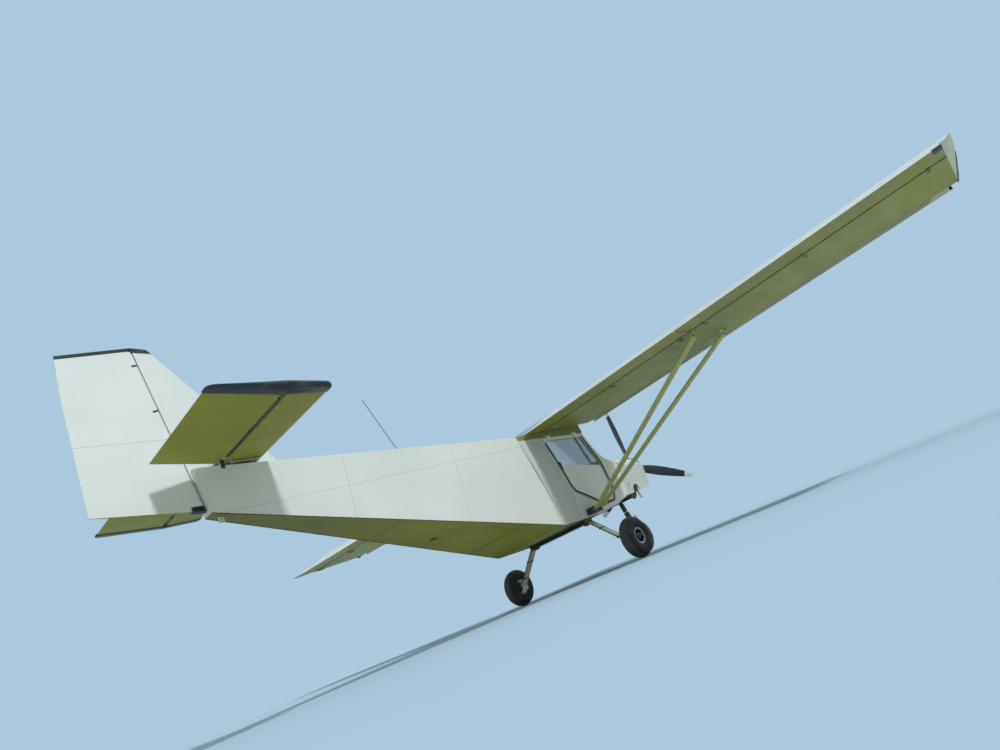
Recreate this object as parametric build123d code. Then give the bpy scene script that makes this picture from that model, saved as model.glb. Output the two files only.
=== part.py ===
from build123d import *
import os
from math import hypot, radians, sqrt, tan

# A two-seat all-metal ultralight aircraft with a high wing, parked on its tricycle gear.
# Millimetres and degrees. x runs forward from the main axle, y to port, z up from the ground.

# Cabin width, from two seats side by side
seat_w = 450
seat_middle_gap = 74
seat_side_room = 53
wall = 20
cabin_half = seat_middle_gap / 2 + seat_w + seat_side_room + wall
chine_half = cabin_half - 50
seat_y = (seat_middle_gap + seat_w) / 2
seat_gap = 0.3
panel_x = 590

# Seats, each a cushion on a box and a leaning back in a thin shell, and the stick between them
cushion_size = (460, 90)
cushion_place = (-130, 650)
back_size = (70, 520)
back_place = (-430, 960)
back_lean = 15
shell_t = 12
seat_box = (-470, 60, 200)
seat_low_z = 605
panel_t = 30
panel_low_z = 930
panel_waist_z = 1050
panel_top_z = 1160
stick_foot_x = 250
stick_top = (230, 870)
stick_half = 110

# Wing, in its own frame: x forward from the trailing edge, y outboard, z up from the flat underside
wing_te_x = -635
wing_te_z = 1463
wing_incidence = 3.0
wing_dihedral = 1.35
wing_root_y = cabin_half + 13
wing_end_y = 4500
tip_edge_y = 4620
wing_nose_x = 1255
wing_crest_x = 875
wing_crest_z = 235
wing_nose_r = 85
wing_slope_x = 732
surface_gap = 7
wing_hinge = (310, 52)
wing_hinge_r = 48
wing_edge_r = 4
flap_end_y = 2420
split_gap = 22
aileron_start_y = flap_end_y + split_gap
slat_start_y = 580
slat_end_y = 4450
slat_nose = (1385, 85)
slat_lip = (1285, -4)
slat_back = (1090, 262)
slat_brackets = 6
slat_bracket_t = 6
wing_hinges_per_surface = 3
hinge_inset = 120
flap_root_gap = 16
wing_eye_back = 75
wing_eye_drop = 16
wing_eye_half = 18

# Hinges of every control surface: a lug on the fixed piece and a pin across a slot in the moving one
lug_t = 6
lug_h = 28
lug_hole_r = 4.05
lug_pin_r = 4.0
lug_slot = 18
lug_reach = 12
lug_floor = 22

# Lift struts, with their lower ends on brackets at the chine
strut_foot = (-30, cabin_half + 62, 596)
strut_spread = 96
front_strut_wing = (985, 2472)
rear_strut_wing = (315 + 60, 2450)
strut_chord = 84
strut_depth = 34
strut_lug_r = 9
strut_fitting_h = 26
wing_eye_r = 6

# Fuselage: side stations are x, chine half width, chine height, waist half width
floor_t = 16
chine_z = 545
waist_z = 1100
door_top_z = 1430
side_stations = (
    (-900, chine_half, chine_z, cabin_half),
    (100, chine_half, chine_z, cabin_half),
    (600, chine_half - 75, 597, cabin_half - 6),
    (1040, 325, 680, 400),
)
frame_low_x = -480
frame_top_x = -740
frame_top_z = 1478
skin = 5
bulkhead_hole = (190, 820, 1180)
tail_eye_r = 8
tail_low = (-3482, 1400)
tail_top = (-3546, 1733)
tail_half = 60
firewall_x = 1040
firewall_t = 8
deck_rear_x = 505
deck_t = 6
deck_centre_rise = (38, 132)
deck_shoulder_z = (1100, 1043)

# Door outline in side view, from the top rear corner round by the rear and the sill
door_outline = (
    (-366, 1430), (-195, 845), (10, 745), (270, 625), (560, 650),
    (600, 742), (497, 1017), (450, 1119), (300, 1430),
)
door_gap = 6
door_rim = 34
door_hinge_y = cabin_half + 8
door_hinge_z = 1446
glass_t = 4
door_hinge_x = (-260, 190)
sill_end_x = 620
quarter_outline = ((-560, 1390), (-440, 980), (-290, 980), (-408, 1390))

# Windscreen sections: x of its edges, x where the bow starts, half width, bow, height
screen_sections = (
    (430, 470, cabin_half - 27, 534, 1090),
    (268, 284, cabin_half - 24, 8, 1751),
)
roof_front_x = 940
roof_back_x = 40
roof_t = 5
rib_t = 15

# Engine and cowl: stations are x, chine half width, chine z, shoulder half width, shoulder z, top z.
# Blade stations are radius, chord, thickness, pitch angle.
cowl_t = 5
cowl_stations = (
    (1048, 322, 682, 398, 1040, 1175),
    (1400, 290, 700, 345, 1020, 1190),
    (1720, 240, 742, 275, 1005, 1155),
    (1830, 200, 768, 222, 985, 1100),
)
cowl_split_z = 960
outlet = (1080, 1420, 250)
inlet = (160, 792, 880)
shaft_z = 1060
shaft_x = (1790, 1860)
hub_x = (1852, 1990)
hub_r = 62
spinner_back_x = 1872
spinner_tip_x = 2150
spinner_r = 115
propeller_r = 850
propeller_x = 1935
blade_count = 3
blade_stations = ((50, 66, 30, 54), (260, 118, 18, 34), (560, 104, 12, 22), (propeller_r, 56, 6, 15))
shaft_r = 25
run_fit = 0.05
engine_size = (620, 400, 240)
engine_x = 1430
engine_z = 965
engine_edge = 40
engine_mount = (120, 880, 1000)
gearbox_r = 52
gearbox_front_x = hub_x[0] - 10
muffler_r = 55
muffler_place = (1190, 775)
muffler_ends = (-285, -50)
header_r = 22
header_y = -120
tailpipe = ((1200, -220, 765), (1330, -220, 640))
tailpipe_r = 24
tailpipe_wall = 4

# Wheels and gear
tyre_r = 200
tyre_half = 70
rim_r = 78
axle_r = 12.5
rim_half = 50
hub_half = 44
side_play = 0.3
track_half = 858
nose_wheel_x = 1429
leaf_y = track_half - 94
leaf_foot_z = 205
leaf_t = 16
leaf_w = 84
leaf_z = 515
leaf_bend_y = 430
leaf_bend_r = 90
axle_plate = (14, 100)
axle_nut_r = 20
axle_nut_t = 16
beam_w = 128
nose_rake = 13.5
crown_up = 236
fork_inner = 82
fork_t = 8
leg_r = 20
leg_top_up = 600
housing_r = 28
housing_low_up = 350
housing_top_up = 640
crown_size = (64, 16)
fork_arm_half = 22
fork_arm_low = -26
housing_arms = ((1330, 700), (1300, 800))
housing_arm_t = 16
housing_arm_half = 30

# Tail
stab_nose_x = -3060
elev_hinge_x = -3373
elev_te_x = -3850
tail_z = 1757
stab_half = 1205
elev_inner = (122, 192)
elev_r = 30
tail_nose_r = 20
rudder_low = (-3520, 1432)
rudder_top = (-3793, 2734)
rudder_low_te = (-4230, 1517)
rudder_top_te = (-4233, 2676)
rudder_r = 28
fin_low_x = -2800
fin_top_x = -3654
fin_low_z = 1640
fin_nose_r = 14
fin_hinges_up = (420, 800, 1180)
rudder_tail_x = rudder_top_te[0]
stab_feet_x = ((-3160, -3110), (-3300, -3250))
stab_foot_half = 40
stab_foot_z = 1650
tab_chord = 60
tab_y = (240, 700)
tail_edge_r = 4

# Small things on the outside: the antenna leans back from its base
antenna_foot = (-1653, 1545)
antenna_top = (-1915, 2236)
antenna_r = 3
antenna_base_r = 13
pitot_y = 2500
pitot_x = (1010, 1420)
pitot_r = 8
lamp_place = (1640, 726)
lamp_r = 28
lamp_h = 24

# Cavities of the tail surfaces: how far they stay from the hinge line, the ends and the edges
cavity_back = 40
cavity_end = 25
cavity_wall = 6

length_mid_x = (spinner_tip_x + rudder_tail_x) / 2
wing_frame = (
    Location((wing_te_x, 0, wing_te_z))
    * Location((0, 0, 0), (wing_dihedral, 0, 0))
    * Location((0, 0, 0), (0, -wing_incidence, 0))
)
parts = {}


def ring(start, *steps):
    """A closed face: each step is an end point, or a point on an arc and the arc's end"""
    edges = []
    here = start
    for step in steps:
        if isinstance(step[0], tuple):
            edges.append(ThreePointArc(here, step[0], step[1]))
            here = step[1]
        else:
            edges.append(Line(here, step))
            here = step
    if here != start:
        edges.append(Line(here, start))
    return make_face(edges)


def along_y(face, y0, y1):
    """A profile drawn as x, z, from y0 to y1"""
    return extrude(Plane.XZ.offset(-y0) * face, -(y1 - y0))


def prism_xz(points, y0, y1):
    return along_y(make_face(Polyline(*points, close=True)), y0, y1)


def section_yz(points, x):
    """A polygon drawn as y, z at one station"""
    return Plane.YZ.offset(x) * make_face(Polyline(*points, close=True))


def cylinder_y(radius, x, z, y0, y1):
    return along_y(Pos(x, z) * Circle(radius), y0, y1)


def box_span(x0, x1, y0, y1, z0, z1):
    return Pos((x0 + x1) / 2, (y0 + y1) / 2, (z0 + z1) / 2) * Box(x1 - x0, y1 - y0, z1 - z0)


def other_side(shape):
    return mirror(shape, about=Plane.XZ)


def both_sides(shape):
    return Compound(children=[solid for side in (shape, other_side(shape)) for solid in side.solids()])


def rod(start, end, radius):
    """A round bar between two points"""
    a, b = Vector(*start), Vector(*end)
    return extrude(Plane(origin=a, z_dir=b - a) * Circle(radius), (b - a).length)


def wing_rear():
    """Radius of the arc behind the crest, and x, z where it meets the straight slope to the trailing edge"""
    rise = wing_crest_z - wing_edge_r
    slope = hypot(wing_slope_x, rise)
    reach = wing_crest_x - wing_slope_x
    radius = reach * (wing_slope_x + slope) / rise
    return radius, wing_slope_x * (1 - reach / slope), wing_crest_z - rise * reach / slope


def wing_top_z(x):
    radius, break_x, break_z = wing_rear()
    if x < break_x:
        return wing_edge_r + (break_z - wing_edge_r) * x / break_x
    return wing_crest_z - radius + sqrt(radius * radius - (wing_crest_x - x) ** 2)


def wing_front_r():
    """Radius of the arc from the crest to the round nose, level at the crest and tangent to the nose"""
    run = wing_nose_x - wing_nose_r - wing_crest_x
    rise = wing_crest_z - wing_nose_r
    return (run * run + rise * rise - wing_nose_r * wing_nose_r) / (2 * (rise - wing_nose_r))


def wing_front_z(x):
    radius = wing_front_r()
    return wing_crest_z - radius + sqrt(radius * radius - (x - wing_crest_x) ** 2)


def wing_shoulder():
    """Where the front arc meets the round nose"""
    run = wing_nose_x - wing_nose_r - wing_crest_x
    rise = wing_front_r() + wing_nose_r - wing_crest_z
    reach = wing_nose_r / hypot(run, rise)
    return wing_nose_x - wing_nose_r + run * reach, wing_nose_r + rise * reach


def wing_rear_steps(down=0):
    """The top line from behind: the end of the straight slope, then the arc up to the crest"""
    break_x = wing_rear()[1]
    mid_x = (wing_crest_x + break_x) / 2
    slope_end = (break_x, wing_top_z(break_x) - down)
    arc_mid = (mid_x, wing_top_z(mid_x) - down)
    return slope_end, (arc_mid, (wing_crest_x, wing_crest_z - down))


def wing_outline(rear_x):
    """The wing's section from its nose to rear_x"""
    shoulder = wing_shoulder()
    front_mid_x = (wing_crest_x + shoulder[0]) / 2
    slope_end, (arc_mid, crest) = wing_rear_steps()
    return ring(
        (rear_x, 0),
        (wing_nose_x - wing_nose_r, 0),
        ((wing_nose_x, wing_nose_r), shoulder),
        ((front_mid_x, wing_front_z(front_mid_x)), crest),
        (arc_mid, slope_end),
        (rear_x, wing_top_z(rear_x)),
    )


def leaf_outline(front_x, front_r, rear_x, rear_r, z=0.0, rear_z=None):
    """Two circles and their outer tangents"""
    end_z = z if rear_z is None else rear_z
    circles = [Pos(front_x, z) * Circle(front_r), Pos(rear_x, end_z) * Circle(rear_r)]
    return make_hull([edge for circle in circles for edge in circle.edges()])


def lug(x, z, y, root_x):
    """A hinge lug that stands back from root_x to the hinge line"""
    plate = box_span(x - lug_reach, root_x, y - lug_t / 2, y + lug_t / 2, z - lug_h / 2, z + lug_h / 2)
    return plate - cylinder_y(lug_hole_r, x, z, y - lug_t, y + lug_t)


def slot_and_pin(surface, x, z, y, reach):
    """Cut a lug's slot in a moving surface and put its pin across"""
    half = lug_slot / 2
    slotted = surface - box_span(x - lug_floor, x + reach, y - half, y + half, z - reach, z + reach)
    return slotted + cylinder_y(lug_pin_r, x, z, y - half - 2, y + half + 2)


def stations(start, end, count, inset):
    step = (end - start - 2 * inset) / (count - 1)
    return [start + inset + step * i for i in range(count)]


def make_wing():
    hinge_x, hinge_z = wing_hinge
    lip_x = hinge_x + (wing_hinge_r + surface_gap) / 3
    cove = Pos(hinge_x, hinge_z) * Circle(wing_hinge_r + surface_gap)
    panel = along_y(wing_outline(lip_x) - cove, wing_root_y, wing_end_y)
    surface = leaf_outline(hinge_x, wing_hinge_r, wing_edge_r, wing_edge_r, hinge_z, wing_edge_r)
    flap = along_y(surface, wing_root_y + flap_root_gap, flap_end_y)
    aileron = along_y(surface, aileron_start_y, wing_end_y)
    root_x = hinge_x + wing_hinge_r + surface_gap + 10
    reach = wing_hinge_r + 20
    for y in stations(wing_root_y + flap_root_gap, flap_end_y, wing_hinges_per_surface, hinge_inset):
        flap = slot_and_pin(flap, hinge_x, hinge_z, y, reach)
        panel = panel + lug(hinge_x, hinge_z, y, root_x)
    for y in stations(aileron_start_y, wing_end_y, wing_hinges_per_surface, hinge_inset):
        aileron = slot_and_pin(aileron, hinge_x, hinge_z, y, reach)
        panel = panel + lug(hinge_x, hinge_z, y, root_x)
    eye_x = front_strut_wing[0] - wing_eye_back
    eye_y = front_strut_wing[1]
    eye_low = -2 * wing_eye_drop
    panel = panel + box_span(eye_x - wing_eye_half, eye_x + wing_eye_half, eye_y - 4, eye_y + 4, eye_low, 4)
    panel = panel - cylinder_y(wing_eye_r, eye_x, -wing_eye_drop, eye_y - 9, eye_y + 9)
    for x, y in (front_strut_wing, rear_strut_wing):
        panel = panel + box_span(x - 22, x + 22, y - 5, y + 5, -strut_fitting_h, 4)
    for x in (front_strut_wing[0], rear_strut_wing[0]):
        panel = panel + box_span(x - 20, x + 20, cabin_half - 14, wing_root_y + 2, 24, 84)
    slope = ((wing_end_y, 0), (tip_edge_y, wing_crest_z), (wing_end_y, wing_crest_z))
    tip = along_y(wing_outline(lip_x), wing_end_y, tip_edge_y) & extrude(section_yz(slope, 0), wing_nose_x)
    return panel, tip, flap, aileron


def make_slat(panel):
    nose_x, nose_z = slat_nose
    section = ring(
        slat_lip,
        ((nose_x, nose_z - 10), (nose_x - 45, nose_z + 80)),
        ((nose_x - 150, nose_z + 152), slat_back),
        (slat_back[0], slat_back[1] - 4),
        ((nose_x - 145, nose_z + 118), (nose_x - 82, nose_z + 20)),
    )
    slat = along_y(section, slat_start_y, slat_end_y)
    bracket = ring(
        (wing_crest_x + 200, 150), (nose_x - 70, 20), (nose_x - 40, nose_z + 60), (slat_back[0] + 30, slat_back[1] - 12))
    for y in stations(slat_start_y, slat_end_y, slat_brackets, 130):
        slat = slat + along_y(bracket, y - slat_bracket_t / 2, y + slat_bracket_t / 2)
    return slat - panel


def make_struts():
    """Streamlined tubes with thinner end lugs, the left pair"""
    struts = []
    for (wing_x, wing_y), shift in ((front_strut_wing, strut_spread / 2), (rear_strut_wing, -strut_spread / 2)):
        top = (wing_frame * Location((wing_x, wing_y, -strut_fitting_h - 1))).position
        foot = Vector(strut_foot[0] + shift, strut_foot[1], strut_foot[2])
        line = top - foot
        plane = Plane(origin=foot + line.normalized() * 24, x_dir=(1, 0, 0), z_dir=line)
        body = extrude(plane * Ellipse(strut_chord / 2, strut_depth / 2), line.length - 48)
        struts.append(body + rod(foot - line.normalized() * 14, foot + line, strut_lug_r))
    return struts


def side_slab(outer, inner):
    """The port side wall of the cabin between two depths under its outer face"""
    sections = []
    for x, chine_y, low_z, waist_y in side_stations:
        line = ((chine_y, low_z), (waist_y, waist_z), (waist_y, door_hinge_z))
        outside = [(y - outer, z) for y, z in line]
        inside = [(y - inner, z) for y, z in reversed(line)]
        sections.append(section_yz(outside + inside, x))
    return loft(sections, ruled=True)


def frame_x(z):
    """The slanted frame behind the cabin"""
    return frame_low_x + (frame_top_x - frame_low_x) * (z - chine_z) / (frame_top_z - chine_z)


def low_z_at(x):
    for a, b in zip(side_stations, side_stations[1:]):
        if a[0] <= x <= b[0]:
            return a[2] + (b[2] - a[2]) * (x - a[0]) / (b[0] - a[0])
    return side_stations[-1][2]


def grown(points, by):
    """An outline moved outwards by a distance"""
    return offset(make_face(Polyline(*points, close=True)), by, kind=Kind.INTERSECTION)


def floor_line(x):
    return low_z_at(x) + floor_t


def make_cabin():
    wide = (200, cabin_half + 140)
    rear_top, rear_low = door_outline[0], door_outline[1]
    front_edge = door_outline[5:8]
    low_front, top_front = front_edge[0], door_outline[8]
    top_z = door_top_z + door_gap
    low = [(x, floor_line(x)) for x in (frame_x(chine_z + floor_t), 100, 600, firewall_x)]
    rear_points = [
        (frame_x(floor_line(-400)), floor_line(-400)), (rear_low[0] - door_gap, floor_line(rear_low[0])),
        (rear_low[0] - door_gap, rear_low[1]), (rear_top[0] - door_gap, top_z), (frame_x(top_z), top_z),
    ]
    sill_points = [
        (rear_low[0] - door_gap, floor_line(rear_low[0])), low[1], low[2], (sill_end_x, floor_line(sill_end_x)),
        (sill_end_x, low_front[1]), low_front, (rear_low[0] - door_gap, rear_low[1] + 5),
    ]
    front_points = [
        (sill_end_x, floor_line(sill_end_x)), low[3], (firewall_x, deck_shoulder_z[1]),
        (deck_rear_x, deck_shoulder_z[0]), (top_front[0] + 45, top_z), (top_front[0], top_z),
        *reversed(front_edge), (sill_end_x, low_front[1]),
    ]
    doorway = along_y(grown(door_outline, door_gap), *wide)
    slab = side_slab(0, wall)
    rear = (slab & prism_xz(rear_points, *wide)) - doorway
    rear = rear - prism_xz(quarter_outline, *wide)
    pane = side_slab(8, 8 + glass_t) & prism_xz(quarter_outline, *wide)
    sill = (slab & prism_xz(sill_points, *wide)) - doorway
    front = (slab & prism_xz(front_points, *wide)) - doorway
    parts["rear_sides"] = both_sides(rear)
    parts["quarter_windows"] = both_sides(pane)
    parts["door_sills"] = both_sides(sill)
    parts["forward_sides"] = both_sides(front)

    rim_line = grown(door_outline, -door_rim)
    hole = along_y(rim_line, *wide)
    door_face = make_face(Polyline(*door_outline, close=True))
    door = (slab & along_y(door_face, *wide)) - hole
    door_glass = side_slab(8, 8 + glass_t) & hole
    for x in door_hinge_x:
        strap = box_span(x - 30, x + 30, cabin_half - 8, door_hinge_y + 3, door_top_z - 40, door_top_z)
        strap += box_span(x - 30, x + 30, cabin_half + 2, door_hinge_y + 3, door_top_z - 40, door_hinge_z)
        barrel = rod((x - 30, door_hinge_y, door_hinge_z), (x + 30, door_hinge_y, door_hinge_z), 6)
        door = door + (strap + barrel)
        door = door + rod((x - 55, door_hinge_y, door_hinge_z), (x + 55, door_hinge_y, door_hinge_z), 3)
    parts["door_frame_left"] = door
    parts["door_frame_right"] = other_side(door)
    parts["door_window_left"] = door_glass
    parts["door_window_right"] = other_side(door_glass)

    floor_sections = []
    for x, half, z, _ in side_stations:
        corners = ((-half, z), (half, z), (half, z + floor_t), (-half, z + floor_t))
        floor_sections.append(section_yz(corners, max(x, frame_low_x)))
    behind = prism_xz(((-900, 400), (frame_low_x, chine_z), (frame_x(700), 700), (-900, 700)), -700, 700)
    parts["cabin_floor"] = loft(floor_sections, ruled=True) - behind

    rib_face, roof_face = roof_outlines()
    rib = along_y(rib_face, cabin_half - rib_t, cabin_half)
    lugs = Part()
    for x in door_hinge_x:
        for side in (-1, 1):
            a, b = sorted((x + side * 34, x + side * 48))
            knuckle = box_span(a, b, cabin_half, door_hinge_y + 7, door_hinge_z - 7, door_hinge_z + 16)
            lugs += knuckle - rod((a - 1, door_hinge_y, door_hinge_z), (b + 1, door_hinge_y, door_hinge_z), 3.05)
    closure, deck = roof_rear()
    side = rib + lugs + closure
    parts["roof_ribs"] = side + other_side(side) + deck
    parts["roof_window"] = along_y(roof_face, -cabin_half, cabin_half)


def roof_frame(shape):
    """Put a wing profile at the centre section, which has no dihedral"""
    rise = wing_te_z + wing_root_y * tan(radians(wing_dihedral))
    return Location((wing_te_x, rise)) * Location((0, 0, 0), (0, 0, wing_incidence)) * shape


def roof_outlines():
    """Side views of the root ribs and of the roof over them"""

    def top(x, down):
        return (x, wing_top_z(x) - down)

    front_z = wing_front_z(roof_front_x)
    fore_x = (wing_crest_x + roof_front_x) / 2
    fore_z = wing_front_z(fore_x)
    slope_end, (arc_mid, under_crest) = wing_rear_steps(roof_t)
    roof = ring(
        top(roof_back_x, 0),
        *wing_rear_steps(),
        ((fore_x, fore_z), (roof_front_x, front_z)),
        (roof_front_x, front_z - roof_t),
        ((fore_x, fore_z - roof_t), under_crest),
        (arc_mid, slope_end),
        top(roof_back_x, roof_t),
    )
    rib = ring(
        top(roof_back_x, roof_t),
        slope_end,
        (arc_mid, under_crest),
        ((fore_x, fore_z - roof_t), (roof_front_x, front_z - roof_t)),
        (roof_front_x + 52, -90),
        (roof_back_x, -90),
    )
    low_z = door_top_z + door_gap
    above_door = make_face(Polyline((-700, low_z), (900, low_z), (900, 2000), (-700, 2000), close=True))
    return roof_frame(rib) & above_door, roof_frame(roof)


def roof_rear():
    """The side closure and the deck between the roof's rear edge and the slanted frame"""
    edge = roof_frame(Location((roof_back_x, wing_top_z(roof_back_x)))).position
    low_z = door_top_z + door_gap
    top = (frame_top_x, frame_top_z)
    under = (edge.X, edge.Y - roof_t)
    rib_x = edge.X + rib_t
    side_points = (top, under, (rib_x, under[1]), (rib_x, low_z), (frame_x(low_z), low_z))
    closure = prism_xz(side_points, cabin_half - rib_t, cabin_half)
    under_z = frame_top_z - roof_t
    deck = prism_xz((top, (edge.X, edge.Y), under, (frame_x(under_z), under_z)), -cabin_half, cabin_half)
    return closure, deck


def arch(x, half, low_z, shoulder, shoulder_z, top_z, inset=0.0):
    """A cowl section: flat bottom, straight sides and a round top"""
    face = ring(
        (-(half - inset), low_z + inset),
        (half - inset, low_z + inset),
        (shoulder - inset, shoulder_z),
        ((0, top_z - inset), (-(shoulder - inset), shoulder_z)),
    )
    return Plane.YZ.offset(x) * face


def make_forward_fuselage():
    x0, x1 = deck_rear_x, firewall_x
    sections = []
    under = []
    for x, half, z, rise in zip((x0, x1), (cabin_half - 1, 400), deck_shoulder_z, deck_centre_rise):
        sections.append(Plane.YZ.offset(x) * ring(
            (-half, z), ((0, z + rise), (half, z)), (half - 4, z), ((0, z + rise - deck_t), (-half + 4, z))))
        under.append(Plane.YZ.offset(x) * ring((-half, z), ((0, z + rise), (half, z)), (half, 400), (-half, 400)))
    parts["scuttle_deck"] = loft(sections, ruled=True)
    below = loft(under, ruled=True)
    x, half, z, shoulder, shoulder_z, top_z = cowl_stations[0]
    wall_face = arch(firewall_x, half, z, shoulder, shoulder_z, top_z)
    parts["firewall"] = extrude(wall_face, firewall_t)

    rows = []
    for edge_x, arc_x, half_y, bow, z in screen_sections:
        face = ring(
            (edge_x, half_y), (arc_x, half_y), ((arc_x + bow, 0), (arc_x, -half_y)), (edge_x, -half_y),
            (edge_x, -half_y + glass_t), (arc_x - 1, -half_y + glass_t),
            ((arc_x + bow - glass_t, 0), (arc_x - 1, half_y - glass_t)), (edge_x, half_y - glass_t))
        rows.append(Pos(0, 0, z) * face)
    screen = loft(rows, ruled=True)
    parts["windscreen"] = screen - below
    return below


def tail_side_y(x, z):
    """Half width of the rear fuselage's flat side, a plane through three of its corners"""
    low = Vector(frame_low_x, chine_half, chine_z)
    top = Vector(frame_top_x, cabin_half, frame_top_z)
    normal = (top - low).cross(Vector(tail_low[0], tail_half, tail_low[1]) - low)
    return low.Y - (normal.X * (x - low.X) + normal.Z * (z - low.Z)) / normal.Y


def tapered_box(front, rear, inset):
    """A flat-sided box between two slanted frames, each given by its low and top x, z corner"""
    rings = []
    for (low_x, low_z), (top_x, top_z) in (front, rear):
        low_y = tail_side_y(low_x, low_z) - inset
        top_y = tail_side_y(top_x, top_z) - inset
        rings.append((
            (low_x, -low_y, low_z), (low_x, low_y, low_z), (top_x, top_y, top_z), (top_x, -top_y, top_z)))
    corners = [rings[0], rings[1]]
    for i in range(4):
        j = (i + 1) % 4
        corners.append((rings[0][i], rings[0][j], rings[1][j], rings[1][i]))
    return Solid(Shell([Face(Wire.make_polygon(points, close=True)) for points in corners]))


def make_rear_fuselage():
    front = ((frame_low_x, chine_z), (frame_top_x, frame_top_z))
    rear = (tail_low, tail_top)
    shell = tapered_box(front, rear, 0)
    inside = []
    for (low_x, low_z), (top_x, top_z), shift in ((*front, -skin), (*rear, skin)):
        inside.append(((low_x + shift, low_z + skin), (top_x + shift, top_z - skin)))
    cavity = tapered_box(*inside, skin)
    hole = box_span(frame_top_x, frame_low_x, -bulkhead_hole[0], bulkhead_hole[0], *bulkhead_hole[1:])
    eye_x = tail_low[0] + 80
    eye_z = tail_low[1] - 30
    eye = box_span(eye_x - 20, eye_x + 20, -4, 4, eye_z - 34, eye_z + 20)
    eye = eye - cylinder_y(tail_eye_r, eye_x, eye_z - 14, -9, 9)
    return shell, shell - cavity - hole + (eye - shell)


def make_cowl():
    outer = loft([arch(*row) for row in cowl_stations])
    inner = loft([arch(x + (0 if i == 0 else -cowl_t), *row, inset=cowl_t)
                  for i, (x, *row) in enumerate(cowl_stations)])
    shell = outer - inner
    x0, x1, half = outlet
    shell = shell - box_span(x0, x1, -half, half, 500, 760)
    half, z0, z1 = inlet
    shell = shell - box_span(1780, 1900, -half, half, z0, z1)
    shell = shell - rod((1700, 0, shaft_z), (1900, 0, shaft_z), 60)
    upper = shell & box_span(900, 2000, -600, 600, cowl_split_z, 1400)
    lower = shell & box_span(900, 2000, -600, 600, 400, cowl_split_z)
    parts["cowl_upper"] = upper
    parts["cowl_lower"] = lower


def make_engine():
    length, width, height = engine_size
    block = Pos(engine_x, 0, engine_z) * Box(length, width, height)
    block = chamfer(block.edges().filter_by(Axis.X), engine_edge)
    front_x, rear_x = engine_x + length / 2, engine_x - length / 2
    mount_half, mount_low, mount_high = engine_mount
    block = block + rod((front_x - 30, 0, shaft_z), (gearbox_front_x, 0, shaft_z), gearbox_r)
    block = block + box_span(firewall_x + firewall_t, rear_x + 20, -mount_half, mount_half, mount_low, mount_high)
    shaft_bore = rod((shaft_x[0] - 10, 0, shaft_z), (gearbox_front_x + 8, 0, shaft_z), shaft_r + run_fit)
    parts["engine_block"] = block - shaft_bore
    muffler_x, muffler_z = muffler_place
    muffler = cylinder_y(muffler_r, muffler_x, muffler_z, *muffler_ends)
    header = rod((muffler_x, header_y, muffler_z + 25), (muffler_x, header_y, engine_z - height / 2), header_r)
    start, end = tailpipe
    bore_end = Vector(*end) + (Vector(*end) - Vector(*start)).normalized() * 14
    bore = rod(start, bore_end, tailpipe_r - tailpipe_wall)
    parts["exhaust"] = (muffler + rod(start, end, tailpipe_r) + header) - bore


def blade():
    """One blade along +z with its twist and taper"""
    sections = []
    for radius, chord, thick, pitch in blade_stations:
        half = chord / 2
        face = ring((-half, 0), ((0, thick / 2), (half, 0)), ((0, -thick / 2), (-half, 0)))
        sections.append(Location((0, 0, radius), (0, 0, 90 - pitch)) * face)
    return loft(sections)


def make_propeller():
    centre = Location((propeller_x, 0, shaft_z))
    hub = rod((hub_x[0], 0, shaft_z), (hub_x[1], 0, shaft_z), hub_r)
    hub = hub + rod((shaft_x[0], 0, shaft_z), (shaft_x[1], 0, shaft_z), shaft_r)
    prop = hub
    for i in range(blade_count):
        prop = prop + centre * Location((0, 0, 0), (i * 360 / blade_count, 0, 0)) * blade()
    parts["propeller"] = prop
    length = spinner_tip_x - spinner_back_x
    half_line = ring((0, 0), (length, 0), ((length * 0.62, spinner_r * 0.68), (0, spinner_r)))
    cap = Location((spinner_back_x, 0, shaft_z)) * revolve(half_line, Axis.X)
    cap = cap - rod((spinner_back_x - 5, 0, shaft_z), (hub_x[1], 0, shaft_z), hub_r)
    for i in range(blade_count):
        gap = Location((propeller_x, 0, shaft_z)) * Location((0, 0, 0), (i * 360 / blade_count, 0, 0))
        cap = cap - gap * Pos(0, 0, 90) * Box(86, 112, 120)
    parts["spinner"] = cap


def make_wheel(x, y):
    tyre = ring(
        (rim_r, -rim_half), ((tyre_r - 60, -tyre_half), (tyre_r - 22, 18 - tyre_half)),
        ((tyre_r, 0), (tyre_r - 22, tyre_half - 18)), ((tyre_r - 60, tyre_half), (rim_r, rim_half)))
    bore = axle_r + run_fit
    rim = ring(
        (bore, -hub_half), (30, -hub_half), (30, -6), (60, -6), (60, -rim_half), (rim_r, -rim_half),
        (rim_r, rim_half), (60, rim_half), (60, 6), (30, 6), (30, hub_half), (bore, hub_half))
    place = Location((x, y, tyre_r))
    return place * revolve(tyre, Axis.Y), place * revolve(rim, Axis.Y)


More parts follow.
